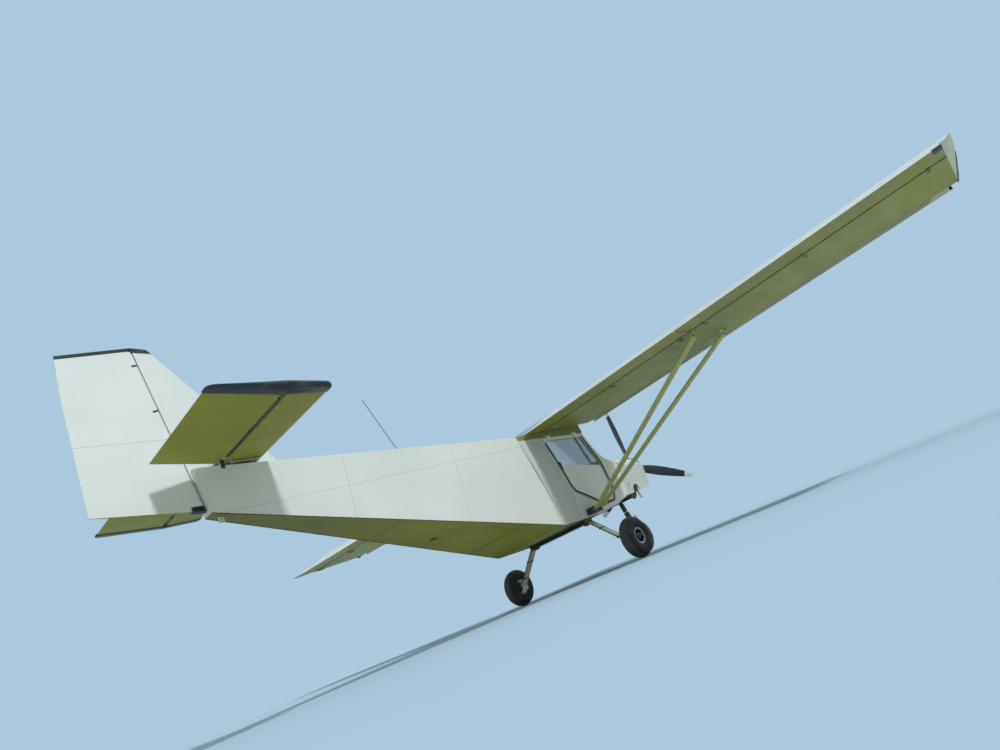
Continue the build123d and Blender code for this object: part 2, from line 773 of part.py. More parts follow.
def make_main_gear():
    points = ((-leaf_y, leaf_foot_z), (-leaf_bend_y, leaf_z), (leaf_bend_y, leaf_z), (leaf_y, leaf_foot_z))
    path = FilletPolyline(*points, radius=leaf_bend_r)
    band = trace(path, leaf_t)
    spring = extrude(Plane.YZ * band, leaf_w / 2, both=True)
    seat = hub_half + side_play
    for side in (-1, 1):
        spring = spring + Pos(0, side * leaf_y, leaf_foot_z) * Box(leaf_w, *axle_plate)
        for radius, y0, y1 in (
            (axle_r, leaf_y, track_half + 52),
            (axle_r + 9.5, leaf_y, track_half - seat),
            (axle_nut_r, track_half + seat, track_half + hub_half + axle_nut_t),
        ):
            spring = spring + cylinder_y(radius, 0, tyre_r, *sorted((side * y0, side * y1)))
    parts["main_gear_spring"] = spring
    beam = box_span(-beam_w / 2, beam_w / 2, -leaf_bend_y + 10, leaf_bend_y - 10, leaf_z - leaf_t / 2, chine_z)
    parts["gear_beam"] = beam - box_span(-leaf_w / 2, leaf_w / 2, -600, 600, 400, leaf_z + leaf_t / 2)
    foot_x, foot_y, foot_z = strut_foot
    bracket = box_span(foot_x - 72, foot_x + 72, chine_half - 10, foot_y, 566, 630) - side_slab(0, 2 * wall)
    for strut in make_struts():
        bracket = bracket - strut
    parts["strut_brackets"] = both_sides(bracket)
    for name, side in (("left", 1), ("right", -1)):
        tyre, rim = make_wheel(0, side * track_half)
        parts["main_tyre_" + name] = tyre
        parts["main_rim_" + name] = rim


def make_nose_gear():
    leg = Location((nose_wheel_x, 0, tyre_r), (0, -nose_rake, 0))
    outer = fork_inner + fork_t
    crown = Pos(0, 0, crown_up) * Box(crown_size[0], 2 * outer, crown_size[1])
    fork = crown + Pos(0, 0, (crown_up + leg_top_up) / 2) * Cylinder(leg_r, leg_top_up - crown_up)
    for side in (-1, 1):
        ends = sorted((side * fork_inner, side * outer))
        fork = fork + box_span(-fork_arm_half, fork_arm_half, *ends, fork_arm_low, crown_up)
        ends = sorted((side * (hub_half + side_play), side * (fork_inner + 2)))
        fork = fork + cylinder_y(fork_arm_half, 0, 0, *ends)
    fork = fork + cylinder_y(axle_r, 0, 0, -fork_inner - 20, fork_inner + 20)
    parts["nose_fork"] = leg * fork
    middle = (housing_low_up + housing_top_up) / 2
    housing = leg * Pos(0, 0, middle) * Cylinder(housing_r, housing_top_up - housing_low_up)
    rear_x = firewall_x + firewall_t
    half = housing_arm_half
    for end_x, low_z in housing_arms:
        housing = housing + box_span(rear_x, end_x, -half, half, low_z, low_z + housing_arm_t)
    bore = leg * Pos(0, 0, (leg_top_up + 200) / 2) * Cylinder(leg_r + run_fit, leg_top_up - 200 + 0.6)
    parts["nose_leg_housing"] = housing - bore
    tyre, rim = make_wheel(nose_wheel_x, 0)
    parts["nose_tyre"] = tyre
    parts["nose_rim"] = rim


def hinge_plane(low, top):
    """A frame at the foot of a slanted hinge line: z along it and x forward, square to it"""
    axis = Vector(top[0] - low[0], 0, top[1] - low[1])
    return Plane(origin=(low[0], 0, low[1]), x_dir=Vector(axis.Z, 0, -axis.X), z_dir=axis), axis.length


def make_tail(fuselage):
    stab_face = leaf_outline(stab_nose_x - tail_nose_r, tail_nose_r, elev_hinge_x, elev_r, tail_z, tail_z)
    stab_face = stab_face - Pos(elev_hinge_x, tail_z) * Circle(elev_r + surface_gap)
    stab = along_y(stab_face, -stab_half, stab_half)
    low, high = tail_nose_r - cavity_wall, elev_r - cavity_wall
    rear_x = elev_hinge_x + elev_r + surface_gap + cavity_end
    stab_room = ((stab_nose_x - tail_nose_r, tail_z - low), (stab_nose_x - tail_nose_r, tail_z + low),
                 (rear_x, tail_z + high), (rear_x, tail_z - high))
    stab = stab - box_span(-4000, elev_hinge_x + elev_r / 2, -2000, 2000, 1600, 1900)
    elev_face = leaf_outline(elev_hinge_x, elev_r, elev_te_x + tail_edge_r, tail_edge_r, tail_z, tail_z)
    whole = along_y(elev_face, -stab_half, stab_half)
    root_x = elev_hinge_x + elev_r + surface_gap + 10
    elev_room = ((elev_hinge_x - cavity_back, tail_z - high), (elev_hinge_x - cavity_back, tail_z + high),
                 (elev_te_x + 3 * cavity_back, tail_z + 3), (elev_te_x + 3 * cavity_back, tail_z - 3))
    inner, outer = elev_inner[1] + cavity_end, stab_half - cavity_end
    for inner, outer in ((inner, outer), (-outer, -inner)):
        stab = stab - prism_xz(stab_room, inner, outer)
        whole = whole - prism_xz(elev_room, inner, outer)
    for y in stations(elev_inner[0], stab_half, 3, 90):
        for side in (-1, 1):
            whole = slot_and_pin(whole, elev_hinge_x, tail_z, side * y, elev_r + 20)
            stab = stab + lug(elev_hinge_x, tail_z, side * y, root_x)
    notch = Polyline(
        (elev_hinge_x + 100, -elev_inner[0]), (elev_hinge_x + 100, elev_inner[0]), (elev_hinge_x, elev_inner[0]),
        (elev_te_x - 10, elev_inner[1]), (elev_te_x - 10, -elev_inner[1]), (elev_hinge_x, -elev_inner[0]), close=True)
    elevator = whole - Pos(0, 0, 1600) * extrude(make_face(notch), 400)
    elevator = elevator + cylinder_y(14, elev_hinge_x, tail_z, -elev_inner[0] - 10, elev_inner[0] + 10)
    for x0, x1 in stab_feet_x:
        stab = stab + (box_span(x0, x1, -stab_foot_half, stab_foot_half, stab_foot_z, tail_z - 10) - fuselage)
    parts["stabilizer"] = stab
    tab_x = elev_te_x - seat_gap
    tab_end = tab_x - tab_chord
    tab_corners = ((tab_x, tail_z - 3), (tab_end, tail_z - 1), (tab_end, tail_z + 1), (tab_x, tail_z + 3))
    tab = prism_xz(tab_corners, *tab_y)
    parts["elevator"] = elevator
    parts["trim_tab"] = tab

    plane, length = hinge_plane(rudder_low, rudder_top)
    low_chord = abs(plane.to_local_coords(Vector(rudder_low_te[0], 0, rudder_low_te[1])).X)
    top_chord = abs(plane.to_local_coords(Vector(rudder_top_te[0], 0, rudder_top_te[1])).X)
    sections = []
    rooms = []
    high = rudder_r - cavity_wall
    for up, chord in ((-140, low_chord), (length + 140, top_chord)):
        sections.append(plane.offset(up) * leaf_outline(0, rudder_r, -chord, tail_edge_r))
        back = 2 * cavity_back - chord
        corners = ((-cavity_back, -high), (-cavity_back, high), (back, 2), (back, -2))
        rooms.append(plane.offset(up) * make_face(Polyline(*corners, close=True)))
    outline = [rudder_low, rudder_low_te, rudder_top_te, rudder_top]
    room = loft(rooms, ruled=True) & along_y(grown(outline, -cavity_end), -rudder_r, rudder_r)
    nose = rudder_r + 4
    outline = [(rudder_low[0] + nose, rudder_low[1] - 4), *outline, (rudder_top[0] + nose, rudder_top[1] + 4)]
    rudder = (loft(sections, ruled=True) & prism_xz(outline, -200, 200)) - room

    fin_sections = []
    for z, nose_x in ((fin_low_z, fin_low_x), (rudder_top[1] - 6, fin_top_x)):
        t = (z - rudder_low[1]) / (rudder_top[1] - rudder_low[1])
        hinge_x = rudder_low[0] + (rudder_top[0] - rudder_low[0]) * t
        fin_sections.append(Pos(0, 0, z) * leaf_outline(nose_x - fin_nose_r, fin_nose_r, hinge_x, rudder_r))
    fin = loft(fin_sections, ruled=True)
    cove = plane * Pos(0, 0, length / 2) * Cylinder(rudder_r + surface_gap, length * 1.4)
    behind = plane * Pos(-200 + rudder_r / 2, 0, length / 2) * Box(400, 200, length * 1.4)
    fin = fin - cove - behind - fuselage
    fin = fin - box_span(elev_hinge_x - 40, stab_nose_x + 5, -100, 100, 1600, tail_z + elev_r + 6)
    for up in fin_hinges_up:
        lug_plate = Pos(rudder_r / 2 + 10, 0, up) * Box(rudder_r + 44, lug_h, lug_t)
        fin = fin + plane * (lug_plate - Pos(0, 0, up) * Cylinder(lug_hole_r, 20))
        rudder = rudder - plane * Pos(40 - lug_floor, 0, up) * Box(80, 200, lug_slot)
        rudder = rudder + plane * Pos(0, 0, up) * Cylinder(lug_pin_r, lug_slot + 4)
    parts["fin"] = fin
    parts["rudder"] = rudder


def make_inside(below_deck):
    cushion = Pos(cushion_place[0], seat_y, cushion_place[1]) * Box(cushion_size[0], seat_w, cushion_size[1])
    cushion = fillet(cushion.edges(), 22)
    place = Location((back_place[0], seat_y, back_place[1]), (0, -back_lean, 0))
    back = place * Box(back_size[0], seat_w, back_size[1])
    back = fillet(back.edges(), 20)
    shell_x = -(back_size[0] + shell_t) / 2 - seat_gap
    shell = place * Pos(shell_x, 0, -90) * Box(shell_t, seat_w - 30, back_size[1] + 180)
    x0, x1, half = seat_box
    base = box_span(x0, x1, seat_y - half, seat_y + half, chine_z + floor_t, seat_low_z - seat_gap)
    above_box = box_span(-700, 0, 0, cabin_half, seat_low_z - 15, 1300)
    parts["seat_frames"] = both_sides(base + (shell & above_box))
    parts["seat_cushions"] = both_sides(cushion)
    parts["seat_backs"] = both_sides(back)
    low_half, half = cabin_half - 140, cabin_half - 40
    corners = (
        (-low_half, panel_low_z), (low_half, panel_low_z), (half, panel_waist_z),
        (half, panel_top_z), (-half, panel_top_z), (-half, panel_waist_z))
    panel = extrude(section_yz(corners, panel_x), panel_t) & below_deck
    panel = panel - side_slab(0, wall) - other_side(side_slab(0, wall))
    parts["instrument_panel"] = panel - parts["scuttle_deck"]
    foot_z = floor_line(stick_foot_x)
    top_x, top_z = stick_top
    stick = rod((stick_foot_x, 0, foot_z + 8), (top_x, 0, top_z), 12)
    stick = stick + rod((top_x, -stick_half, top_z), (top_x, stick_half, top_z), 11)
    base_z = floor_line(stick_foot_x + 30)
    parts["control_stick"] = stick + box_span(stick_foot_x - 30, stick_foot_x + 30, -40, 40, base_z, base_z + 12)


def make_small(fuselage):
    foot = Vector(antenna_foot[0], 0, antenna_foot[1])
    top = Vector(antenna_top[0], 0, antenna_top[1])
    along = (top - foot).normalized()
    parts["antenna"] = (rod(foot, top, antenna_r) + rod(foot + along * 6, foot + along * 30, antenna_base_r)) - fuselage
    x0, x1 = pitot_x
    tube = rod((x0, pitot_y, -14), (x1, pitot_y, -14), pitot_r)
    bracket = box_span(x0, x0 + 40, pitot_y - 20, pitot_y + pitot_r, -14 - pitot_r, 0)
    parts["pitot_tube"] = wing_frame * (tube + bracket)
    lamp = Pos(lamp_place[0], 0, lamp_place[1]) * Cylinder(lamp_r, lamp_h)
    parts["chin_lamp"] = lamp - loft([arch(*row) for row in cowl_stations])


def main():
    panel, tip, flap, aileron = make_wing()
    slat = make_slat(panel)
    for name, shape in (("wing", panel), ("slat", slat), ("flap", flap), ("aileron", aileron)):
        placed = wing_frame * shape
        if name == "wing":
            placed = placed - box_span(-700, 700, -cabin_half, cabin_half, 1400, 1900)
        parts[name + "_left"] = placed
        parts[name + "_right"] = other_side(placed)
    parts["wing_tips"] = both_sides(wing_frame * tip)
    front, rear = make_struts()
    parts["front_struts"] = both_sides(front - parts["wing_left"])
    parts["rear_struts"] = both_sides(rear - parts["wing_left"])
    make_cabin()
    below_deck = make_forward_fuselage()
    solid_tail, parts["rear_fuselage"] = make_rear_fuselage()
    make_cowl()
    make_engine()
    make_propeller()
    make_main_gear()
    make_nose_gear()
    make_tail(solid_tail)
    make_inside(below_deck)
    make_small(solid_tail)
    os.makedirs("parts", exist_ok=True)
    for name, shape in parts.items():
        export_step(Pos(-length_mid_x, 0, 0) * shape, "parts/" + name + ".step")


main()
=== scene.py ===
from math import cos, pi, radians, sin

import bmesh
import bpy
from mathutils import Matrix, Vector
from mathutils.bvhtree import BVHTree


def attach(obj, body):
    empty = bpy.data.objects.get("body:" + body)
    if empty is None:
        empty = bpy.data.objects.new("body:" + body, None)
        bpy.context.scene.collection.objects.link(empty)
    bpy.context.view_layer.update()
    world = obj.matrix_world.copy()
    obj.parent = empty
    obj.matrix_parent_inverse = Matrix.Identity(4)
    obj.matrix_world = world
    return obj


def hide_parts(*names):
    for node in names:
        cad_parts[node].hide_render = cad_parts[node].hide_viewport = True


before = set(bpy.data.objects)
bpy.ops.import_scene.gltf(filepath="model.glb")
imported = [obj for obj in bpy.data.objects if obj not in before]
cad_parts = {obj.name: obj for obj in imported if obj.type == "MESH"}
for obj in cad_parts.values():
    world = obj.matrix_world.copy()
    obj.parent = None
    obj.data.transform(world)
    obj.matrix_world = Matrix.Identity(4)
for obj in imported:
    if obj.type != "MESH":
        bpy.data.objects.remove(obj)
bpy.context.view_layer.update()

bl_info = {
    "name": "Light aircraft dressing",
    "version": (1, 0, 0),
    "blender": (4, 5, 0),
    "location": "3D View > Sidebar > Aircraft",
    "description": "Dresses the packed ultralight aircraft with its finishes, fittings, cabin and stage",
    "category": "Object",
}

LEFT_RIGHT = (("left", 1), ("right", -1))
BOTH_ENDS = (-1, 1)
ORIGIN, UP, DOWN = (0, 0, 0), (0, 0, 1), (0, 0, -1)
AXLE_X = 1.0415
AXLE_Z = 0.2
TRACK_HALF = 0.858
NOSE_WHEEL = (AXLE_X + 1.429, 0, AXLE_Z)
NOSE_LEG = Matrix.Translation(NOSE_WHEEL) @ Matrix.Rotation(radians(-13.5), 4, "Y")
PROPELLER_Z = 1.06
ELEVATOR_HINGE_X = AXLE_X - 3.373
RUDDER_POST_X = AXLE_X - 3.793
PANEL_X = 1.631
# The port wing's own frame, which the starboard wing mirrors: x along the chord, y out along the span
WING = (
    Matrix.Translation((AXLE_X - 0.635, 0, 1.463))
    @ Matrix.Rotation(radians(1.35), 4, "X")
    @ Matrix.Rotation(radians(-3), 4, "Y")
)
# Side view of a door from its top rear corner round the sill to its top front corner: x from the axle, height
DOOR_OUTLINE = (
    (-0.366, 1.43), (-0.195, 0.845), (0.01, 0.745), (0.27, 0.625), (0.56, 0.65), (0.6, 0.742), (0.497, 1.017),
    (0.45, 1.119), (0.3, 1.43))
# The door glass is painted below a line: its start in x, its height there, and its fall per metre forwards
DOOR_PAINT_LINE = (AXLE_X - 0.18, 1.115, 0.106)
# Rivet rows: pitch along a row, distance between rows, head size, distance between the rows of upright sides
NO_RIVETS = (5.0, 5.0, 0.001, 5.0)
CABIN_RIVETS = (0.03, 0.2, 0.0024, 0.32)
# How far a seat pad swells past the CAD pad that was shrunk for it
SWELL = 0.012
# Vertices closer than this are one when a CAD mesh or a tube is merged
MERGE = 0.00001

BACKDROP = (0.41, 0.58, 0.72)
FLOOR_SEEN = (0.443, 0.611, 0.741)
FLOOR_BOUNCE = (0.66, 0.66, 0.58)
GLASS_TINT = (0.3, 0.38, 0.43)
# On the painted sheet: dark brown on the belly, by the gear and at the chin, faint stains, painted shade at
# rivets and seams
DARK_BROWN, STAIN = (0.075, 0.062, 0.02), (0.2, 0.19, 0.14)
RIVET_SHADOW, SEAM_SHADOW = (0.12, 0.13, 0.11), (0.05, 0.055, 0.045)
SEAM_WIDTH = 0.0022
FLOOR_RADIUS = 60
# The floor turns into the backdrop between these distances from the middle
FLOOR_FADE = (7.0, 22.0)
LENS_MM, SENSOR_MM = 22, 36


# Modelling helpers


def fresh():
    """Leave edit mode and select nothing, so the next operator acts only on what it adds"""
    if bpy.context.object and bpy.context.object.mode != "OBJECT":
        leave_mesh()
    bpy.ops.object.select_all(action="DESELECT")


def pick(piece):
    fresh()
    bpy.context.view_layer.objects.active = piece
    piece.select_set(True)


def enter_mesh():
    bpy.ops.object.mode_set(mode="EDIT")
    bpy.ops.mesh.select_all(action="SELECT")


def leave_mesh():
    bpy.ops.object.mode_set(mode="OBJECT")


def choose(piece, kind, wanted):
    """In edit mode, select only the faces or edges that pass a test"""
    bpy.ops.mesh.select_mode(type=kind)
    bpy.ops.mesh.select_all(action="DESELECT")
    shape = bmesh.from_edit_mesh(piece.data)
    for part in shape.faces if kind == "FACE" else shape.edges:
        part.select = wanted(part)
    bmesh.update_edit_mesh(piece.data)
    return shape


def modify(piece, kind, **values):
    """Apply one modifier with its settings"""
    modifier = piece.modifiers.new(kind, kind)
    for name, value in values.items():
        setattr(modifier, name, value)
    bpy.ops.object.modifier_apply(modifier=modifier.name)


def settle(piece, name, finish, body="airframe", angle=35):
    """Join a list of pieces, apply what is live, leave the piece at the origin, and give it its name,
    finish and body"""
    if isinstance(piece, list):
        piece = joined(piece)
    pick(piece)
    piece.name = name
    piece.data.name = name
    for modifier in list(piece.modifiers):
        bpy.ops.object.modifier_apply(modifier=modifier.name)
    bpy.ops.object.transform_apply()
    bpy.ops.object.shade_smooth_by_angle(angle=radians(angle))
    piece.data.materials.clear()
    piece.data.materials.append(finish)
    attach(piece, body)


def block(a, b, edge=0.002):
    """A box between two corners, with rounded edges"""
    fresh()
    low, high = (Vector([end(pair) for pair in zip(a, b)]) for end in (min, max))
    bpy.ops.mesh.primitive_cube_add(size=1, location=(low + high) / 2, scale=high - low)
    bpy.ops.object.transform_apply()
    enter_mesh()
    bpy.ops.mesh.bevel(offset=edge, segments=2, affect="EDGES")
    leave_mesh()
    return bpy.context.object


def bar(start, end, radius, sides=20, edge=0.0):
    """A round bar between two points, with its rims rounded"""
    fresh()
    start, end = Vector(start), Vector(end)
    run = end - start
    bpy.ops.mesh.primitive_cone_add(
        vertices=sides, radius1=radius, radius2=radius, depth=run.length, location=(start + end) / 2,
        rotation=run.to_track_quat("Z", "Y").to_euler())
    piece = bpy.context.object
    if edge:
        bpy.ops.object.transform_apply()
        modify(piece, "BEVEL", width=edge, segments=2, angle_limit=radians(50))
    return piece


def cleaned(piece, threshold):
    """Merge doubles and turn every face outwards"""
    enter_mesh()
    bpy.ops.mesh.remove_doubles(threshold=threshold)
    bpy.ops.mesh.normals_make_consistent(inside=False)
    leave_mesh()
    return piece


def turned(profile, centre=ORIGIN, axis=UP, steps=40):
    """A closed profile of (distance from the axis, distance along it) spun round the axis"""
    fresh()
    centre, axis = Vector(centre), Vector(axis).normalized()
    side = axis.orthogonal().normalized()
    bpy.ops.mesh.primitive_circle_add(vertices=len(profile), fill_type="NOTHING")
    piece = bpy.context.object
    for vertex, (radius, along) in zip(piece.data.vertices, profile):
        vertex.co = centre + axis * along + side * radius
    enter_mesh()
    bpy.ops.mesh.spin(steps=steps, angle=2 * pi, center=centre, axis=axis)
    leave_mesh()
    return cleaned(piece, 0.00002)


def lid(rim, crown, heights, steps, centre=ORIGIN, axis=UP):
    """A low domed disc, sunk a millimetre into what it sits on"""
    low, middle, high = heights
    profile = [(0, -0.001), (rim, -0.001), (rim, low), (crown, middle), (0, high)]
    return turned(profile, centre, axis, steps)


def pipe(points, radius, sides=3):
    """A round tube along a smooth line through points"""
    fresh()
    bpy.ops.curve.primitive_nurbs_path_add()
    curve = bpy.context.object.data
    curve.splines.clear()
    spline = curve.splines.new("NURBS")
    spline.points.add(len(points) - 1)
    for point, place in zip(spline.points, points):
        point.co = (*place, 1)
    spline.order_u = min(4, len(points))
    spline.use_endpoint_u = True
    spline.resolution_u = 8
    curve.bevel_depth = radius
    curve.bevel_resolution = sides
    curve.use_fill_caps = True
    bpy.ops.object.convert(target="MESH")
    return cleaned(bpy.context.object, MERGE)


def joined(pieces):
    """Several pieces as one object"""
    fresh()
    for piece in pieces:
        piece.select_set(True)
    bpy.context.view_layer.objects.active = pieces[0]
    if len(pieces) > 1:
        bpy.ops.object.join()
    return bpy.context.object


def own_copy(name, mesh):
    """An object with its own copy of a mesh"""
    piece = bpy.data.objects.new(name, mesh.copy())
    bpy.context.scene.collection.objects.link(piece)
    return piece


def copy_at(piece, matrix):
    """A copy of a finished shape moved by a matrix"""
    twin = own_copy(piece.name, piece.data)
    twin.data.transform(matrix @ piece.matrix_world)
    if matrix.determinant() < 0:
        twin.data.flip_normals()
    return twin


def other_side(piece):
    return copy_at(piece, Matrix.Scale(-1, 4, (0, 1, 0)))


def drop(piece):
    bpy.data.objects.remove(piece)


def copies(shape, places):
    """One object out of a shape repeated at each matrix"""
    made = [copy_at(shape, matrix) for matrix in places]
    drop(shape)
    return joined(made)


def within(**spans):
    """Cutting planes that keep a span of x, y or z, with None for an open end"""
    planes = []
    for axis, span in spans.items():
        way = Vector([float(axis == letter) for letter in "xyz"])
        for value, sign in zip(span, (1, -1)):
            if value is not None:
                planes.append((way * value, way * sign))
    return planes


def skin_of(node, planes, thickness, facing=None, limit=0.3, lift=0.0):
    """A thin sheet over part of a CAD node: its faces on the kept side of each plane, thickened outwards"""
    piece = own_copy(node + "_skin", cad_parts[node].data)
    pick(piece)
    enter_mesh()
    bpy.ops.mesh.remove_doubles(threshold=MERGE)
    for place, direction in planes:
        bpy.ops.mesh.select_all(action="SELECT")
        bpy.ops.mesh.bisect(plane_co=place, plane_no=direction, clear_inner=True)
    if facing:
        choose(piece, "FACE", lambda face: face.normal.dot(Vector(facing)) < limit)
        bpy.ops.mesh.delete(type="FACE")
    bpy.ops.mesh.select_all(action="SELECT")
    if lift:
        bpy.ops.transform.shrink_fatten(value=lift, use_even_offset=True)
    leave_mesh()
    modify(piece, "SOLIDIFY", thickness=thickness, offset=1, use_even_offset=True)
    return piece


def surface(node, start, direction):
    """Where a line from start meets a CAD node, and the way out of its surface there"""
    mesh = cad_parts[node].data
    tree = BVHTree.FromPolygons([v.co for v in mesh.vertices], [p.vertices for p in mesh.polygons])
    place, normal, _, _ = tree.ray_cast(Vector(start), Vector(direction).normalized())
    if place is None:
        raise RuntimeError("no surface of " + node + " in line with that point")
    return place, normal


def standing(place, normal):
    """The turn and shift that stands a shape made along z on a surface"""
    return Matrix.Translation(place) @ Vector(normal).to_track_quat("Z", "Y").to_matrix().to_4x4()


def seated(node, x, z, side):
    """The turn and shift that stands a shape on the side of a CAD node"""
    return standing(*surface(node, (x, side * 2, z), (0, -side, 0)))


def on_wing(x, y, z, side=1):
    """A point given in the wing's own frame, port or starboard"""
    place = WING @ Vector((x, y, z))
    return Vector((place.x, side * place.y, place.z))


def main_wheel(side):
    return AXLE_X, side * TRACK_HALF, AXLE_Z


# Finish helpers


class Finish:
    """A material and the chain of nodes that make its pattern"""

    def __init__(self, name, colour, roughness, metallic=0.0):
        self.material = bpy.data.materials.new(name)
        self.material.use_nodes = True
        self.tree = self.material.node_tree
        self.shader = self.tree.nodes["Principled BSDF"]
        self.put("Base Color", (*colour, 1))
        self.put("Roughness", roughness)
        self.put("Metallic", metallic)
        self.place = self.node("TexCoord")
        split = self.node("SeparateXYZ")
        self.set(split.inputs[0], self.place.outputs["Object"])
        self.x, self.y, self.z = split.outputs
        self.height = None

    def node(self, kind):
        return self.tree.nodes.new("ShaderNode" + kind)

    def set(self, socket, value):
        if isinstance(value, bpy.types.NodeSocket):
            self.tree.links.new(value, socket)
        else:
            socket.default_value = value

    def put(self, name, value):
        """Set or link one of the shader's own sockets"""
        self.set(self.shader.inputs[name], value)

    def colour(self, value):
        self.put("Base Color", value)

    def math(self, kind, *values):
        node = self.node("Math")
        node.operation = kind
        for socket, value in zip(node.inputs, values):
            self.set(socket, value)
        return node.outputs[0]

    def add(self, a, b):
        return self.math("ADD", a, b)

    def minus(self, a, b):
        return self.math("SUBTRACT", a, b)

    def times(self, a, b):
        return self.math("MULTIPLY", a, b)

    def most(self, a, b):
        return self.math("MAXIMUM", a, b)

    def size(self, a):
        return self.math("ABSOLUTE", a)

    def far(self, a, b):
        """Distance from the origin of two axes"""
        return self.math("SQRT", self.add(self.times(a, a), self.times(b, b)))

    def from_axle(self, centre):
        """x and z from an axle, and the distance from it"""
        x, z = self.minus(self.x, centre[0]), self.minus(self.z, centre[2])
        return x, z, self.far(x, z)

    def ramp(self, value, low, high, start=0.0, end=1.0, kind="SMOOTHSTEP"):
        """A value that goes from start to end while the input goes from low to high"""
        node = self.node("MapRange")
        node.interpolation_type = kind
        for socket, number in zip(node.inputs, (value, low, high, start, end)):
            self.set(socket, number)
        return node.outputs[0]

    def mix(self, share, a, b):
        """Colour a where share is 0 and colour b where it is 1"""
        node = self.node("Mix")
        node.data_type = "RGBA"
        self.set(node.inputs[0], share)
        for socket, value in ((node.inputs[6], a), (node.inputs[7], b)):
            self.set(socket, value if isinstance(value, bpy.types.NodeSocket) else (*value, 1))
        return node.outputs[2]

    def noise(self, scale, detail=3.0, stretch=(1, 1, 1)):
        """Noise on the piece's own coordinates, stretched along the axes"""
        place = self.node("VectorMath")
        place.operation = "MULTIPLY"
        self.set(place.inputs[0], self.place.outputs["Object"])
        place.inputs[1].default_value = stretch
        node = self.node("TexNoise")
        for name, value in (("Scale", scale), ("Detail", detail), ("Vector", place.outputs[0])):
            self.set(node.inputs[name], value)
        return node.outputs["Fac"]

    def facing(self, axis):
        """The surface's own direction along x, y or z, which stays with the piece when it moves"""
        node = self.node("SeparateXYZ")
        self.set(node.inputs[0], self.place.outputs["Normal"])
        return node.outputs["xyz".index(axis)]

    def nearness(self, value, period, shift=0.0):
        """Distance to the nearest of lines that repeat every period"""
        turns = self.add(self.math("DIVIDE", self.minus(value, shift), period), 0.5)
        return self.times(self.size(self.minus(self.math("FRACT", turns), 0.5)), period)

    def dots(self, along, across, pitch, row, size, shift_row=0.0):
        """Rows of small round heads: pitch apart along a row, and row apart across"""
        far = self.far(self.nearness(along, pitch), self.nearness(across, row, shift_row))
        return self.ramp(far, size * 0.75, size * 1.15, 1, 0)

    def line(self, value, place, width):
        """1 on a line where value is at place"""
        return self.ramp(self.size(self.minus(value, place)), width * 0.4, width, 1, 0)

    def lines(self, value, period, shift, width):
        return self.ramp(self.nearness(value, period, shift), width * 0.4, width, 1, 0)

    def raise_by(self, value, amount):
        """Add a pattern to the surface's relief, in metres"""
        term = self.times(value, amount)
        self.height = term if self.height is None else self.add(self.height, term)

    def rough_by(self, grain, smooth, rough):
        """Roughness that follows a noise"""
        self.put("Roughness", self.ramp(grain, 0.2, 0.8, smooth, rough))

    def finished(self, strength=1.0):
        if self.height is not None:
            node = self.node("Bump")
            for name, value in (("Strength", strength), ("Distance", 1.0), ("Height", self.height)):
                self.set(node.inputs[name], value)
            self.put("Normal", node.outputs[0])
        return self.material


def shade(colour, by):
    return tuple(channel * by for channel in colour)


def rivets_by_side(f, pitch, row, size, side_row, shift=0.0, side_shift=0.0):
    """Rivet rows across flat undersides and tops, and along upright sides, each from its own pair of axes"""
    upright = f.ramp(f.size(f.facing("z")), 0.55, 0.65, 1, 0)
    flat = f.dots(f.x, f.y, pitch, row, size, shift)
    side = f.dots(f.z, f.x, pitch, side_row, size, side_shift)
    return f.most(f.times(flat, f.minus(1.0, upright)), f.times(side, upright))


def upper_paint(f, skin):
    """The silver-white paint in slightly darker and lighter patches, and the patches themselves"""
    patches = f.noise(1.3, 4.0)
    return f.mix(f.ramp(patches, 0.35, 0.7), shade(skin, 0.94), skin), patches


def painted_sheet(name, rivets=NO_RIVETS, seams=(), black=None, under=None, turn=(-0.42, -0.24), stains=1.0,
                  tone=1.0, ends=None, brown_mask=None):
    """Satin silver-white sheet that turns to the colour under where its normal's z passes the span turn, with
    rivets, laps, dents and faint stains. The olive under colour is a painted reflection of green ground and
    painted shade. black and brown_mask give masks, and ends gives the faces turned sideways a painted shade"""
    o = options()
    skin = shade(o.skin_colour, tone)
    under = under or o.underside_reflection_colour
    f = Finish(name, skin, 0.45, 0.03)
    top, patches = upper_paint(f, skin)
    grain = f.noise(5.0, 3.0, (0.25, 1.6, 1.6))
    # Faces turned down take the olive under colour: painted reflection of green ground and painted shade
    below = f.ramp(f.facing("z"), *turn, 1, 0)
    lower = f.mix(f.ramp(patches, 0.3, 0.7), shade(under, 0.84), shade(under, 1.1))
    # brown_mask mixes a dark brown into the under colour
    if brown_mask:
        lower = f.mix(brown_mask(f), lower, DARK_BROWN)
    paint = f.mix(below, top, lower)
    # ends: faces turned sideways take a painted shade
    if ends:
        paint = f.mix(f.ramp(f.size(f.facing("y")), 0.7, 0.85), paint, ends)
    streak = f.times(f.ramp(grain, 0.5, 0.85), f.ramp(patches, 0.4, 0.62))
    paint = f.mix(f.times(streak, 0.12 * stains), paint, STAIN)
    heads = rivets_by_side(f, *rivets)
    paint = f.mix(f.times(heads, 0.3), paint, RIVET_SHADOW)
    joints = None
    for axis, place in seams:
        value = f.size(f.y) if axis == "y" else getattr(f, axis)
        seam = f.line(value, place, SEAM_WIDTH)
        joints = f.most(joints, seam) if joints else seam
    if joints:
        paint = f.mix(f.times(joints, 0.4), paint, SEAM_SHADOW)
        f.raise_by(joints, -0.001)
    if black:
        paint = f.mix(black(f), paint, o.trim_colour)
    f.colour(paint)
    for pattern, relief in ((heads, 0.0006), (f.noise(3.2, 1.0), 0.004), (f.noise(260.0, 2.0), 0.00004)):
        f.raise_by(pattern, relief)
    f.rough_by(grain, 0.42, 0.58)
    f.put("Specular IOR Level", 0.26)
    f.put("Coat Weight", 0.03)
    f.put("Coat Roughness", 0.3)
    return f.finished(0.5)


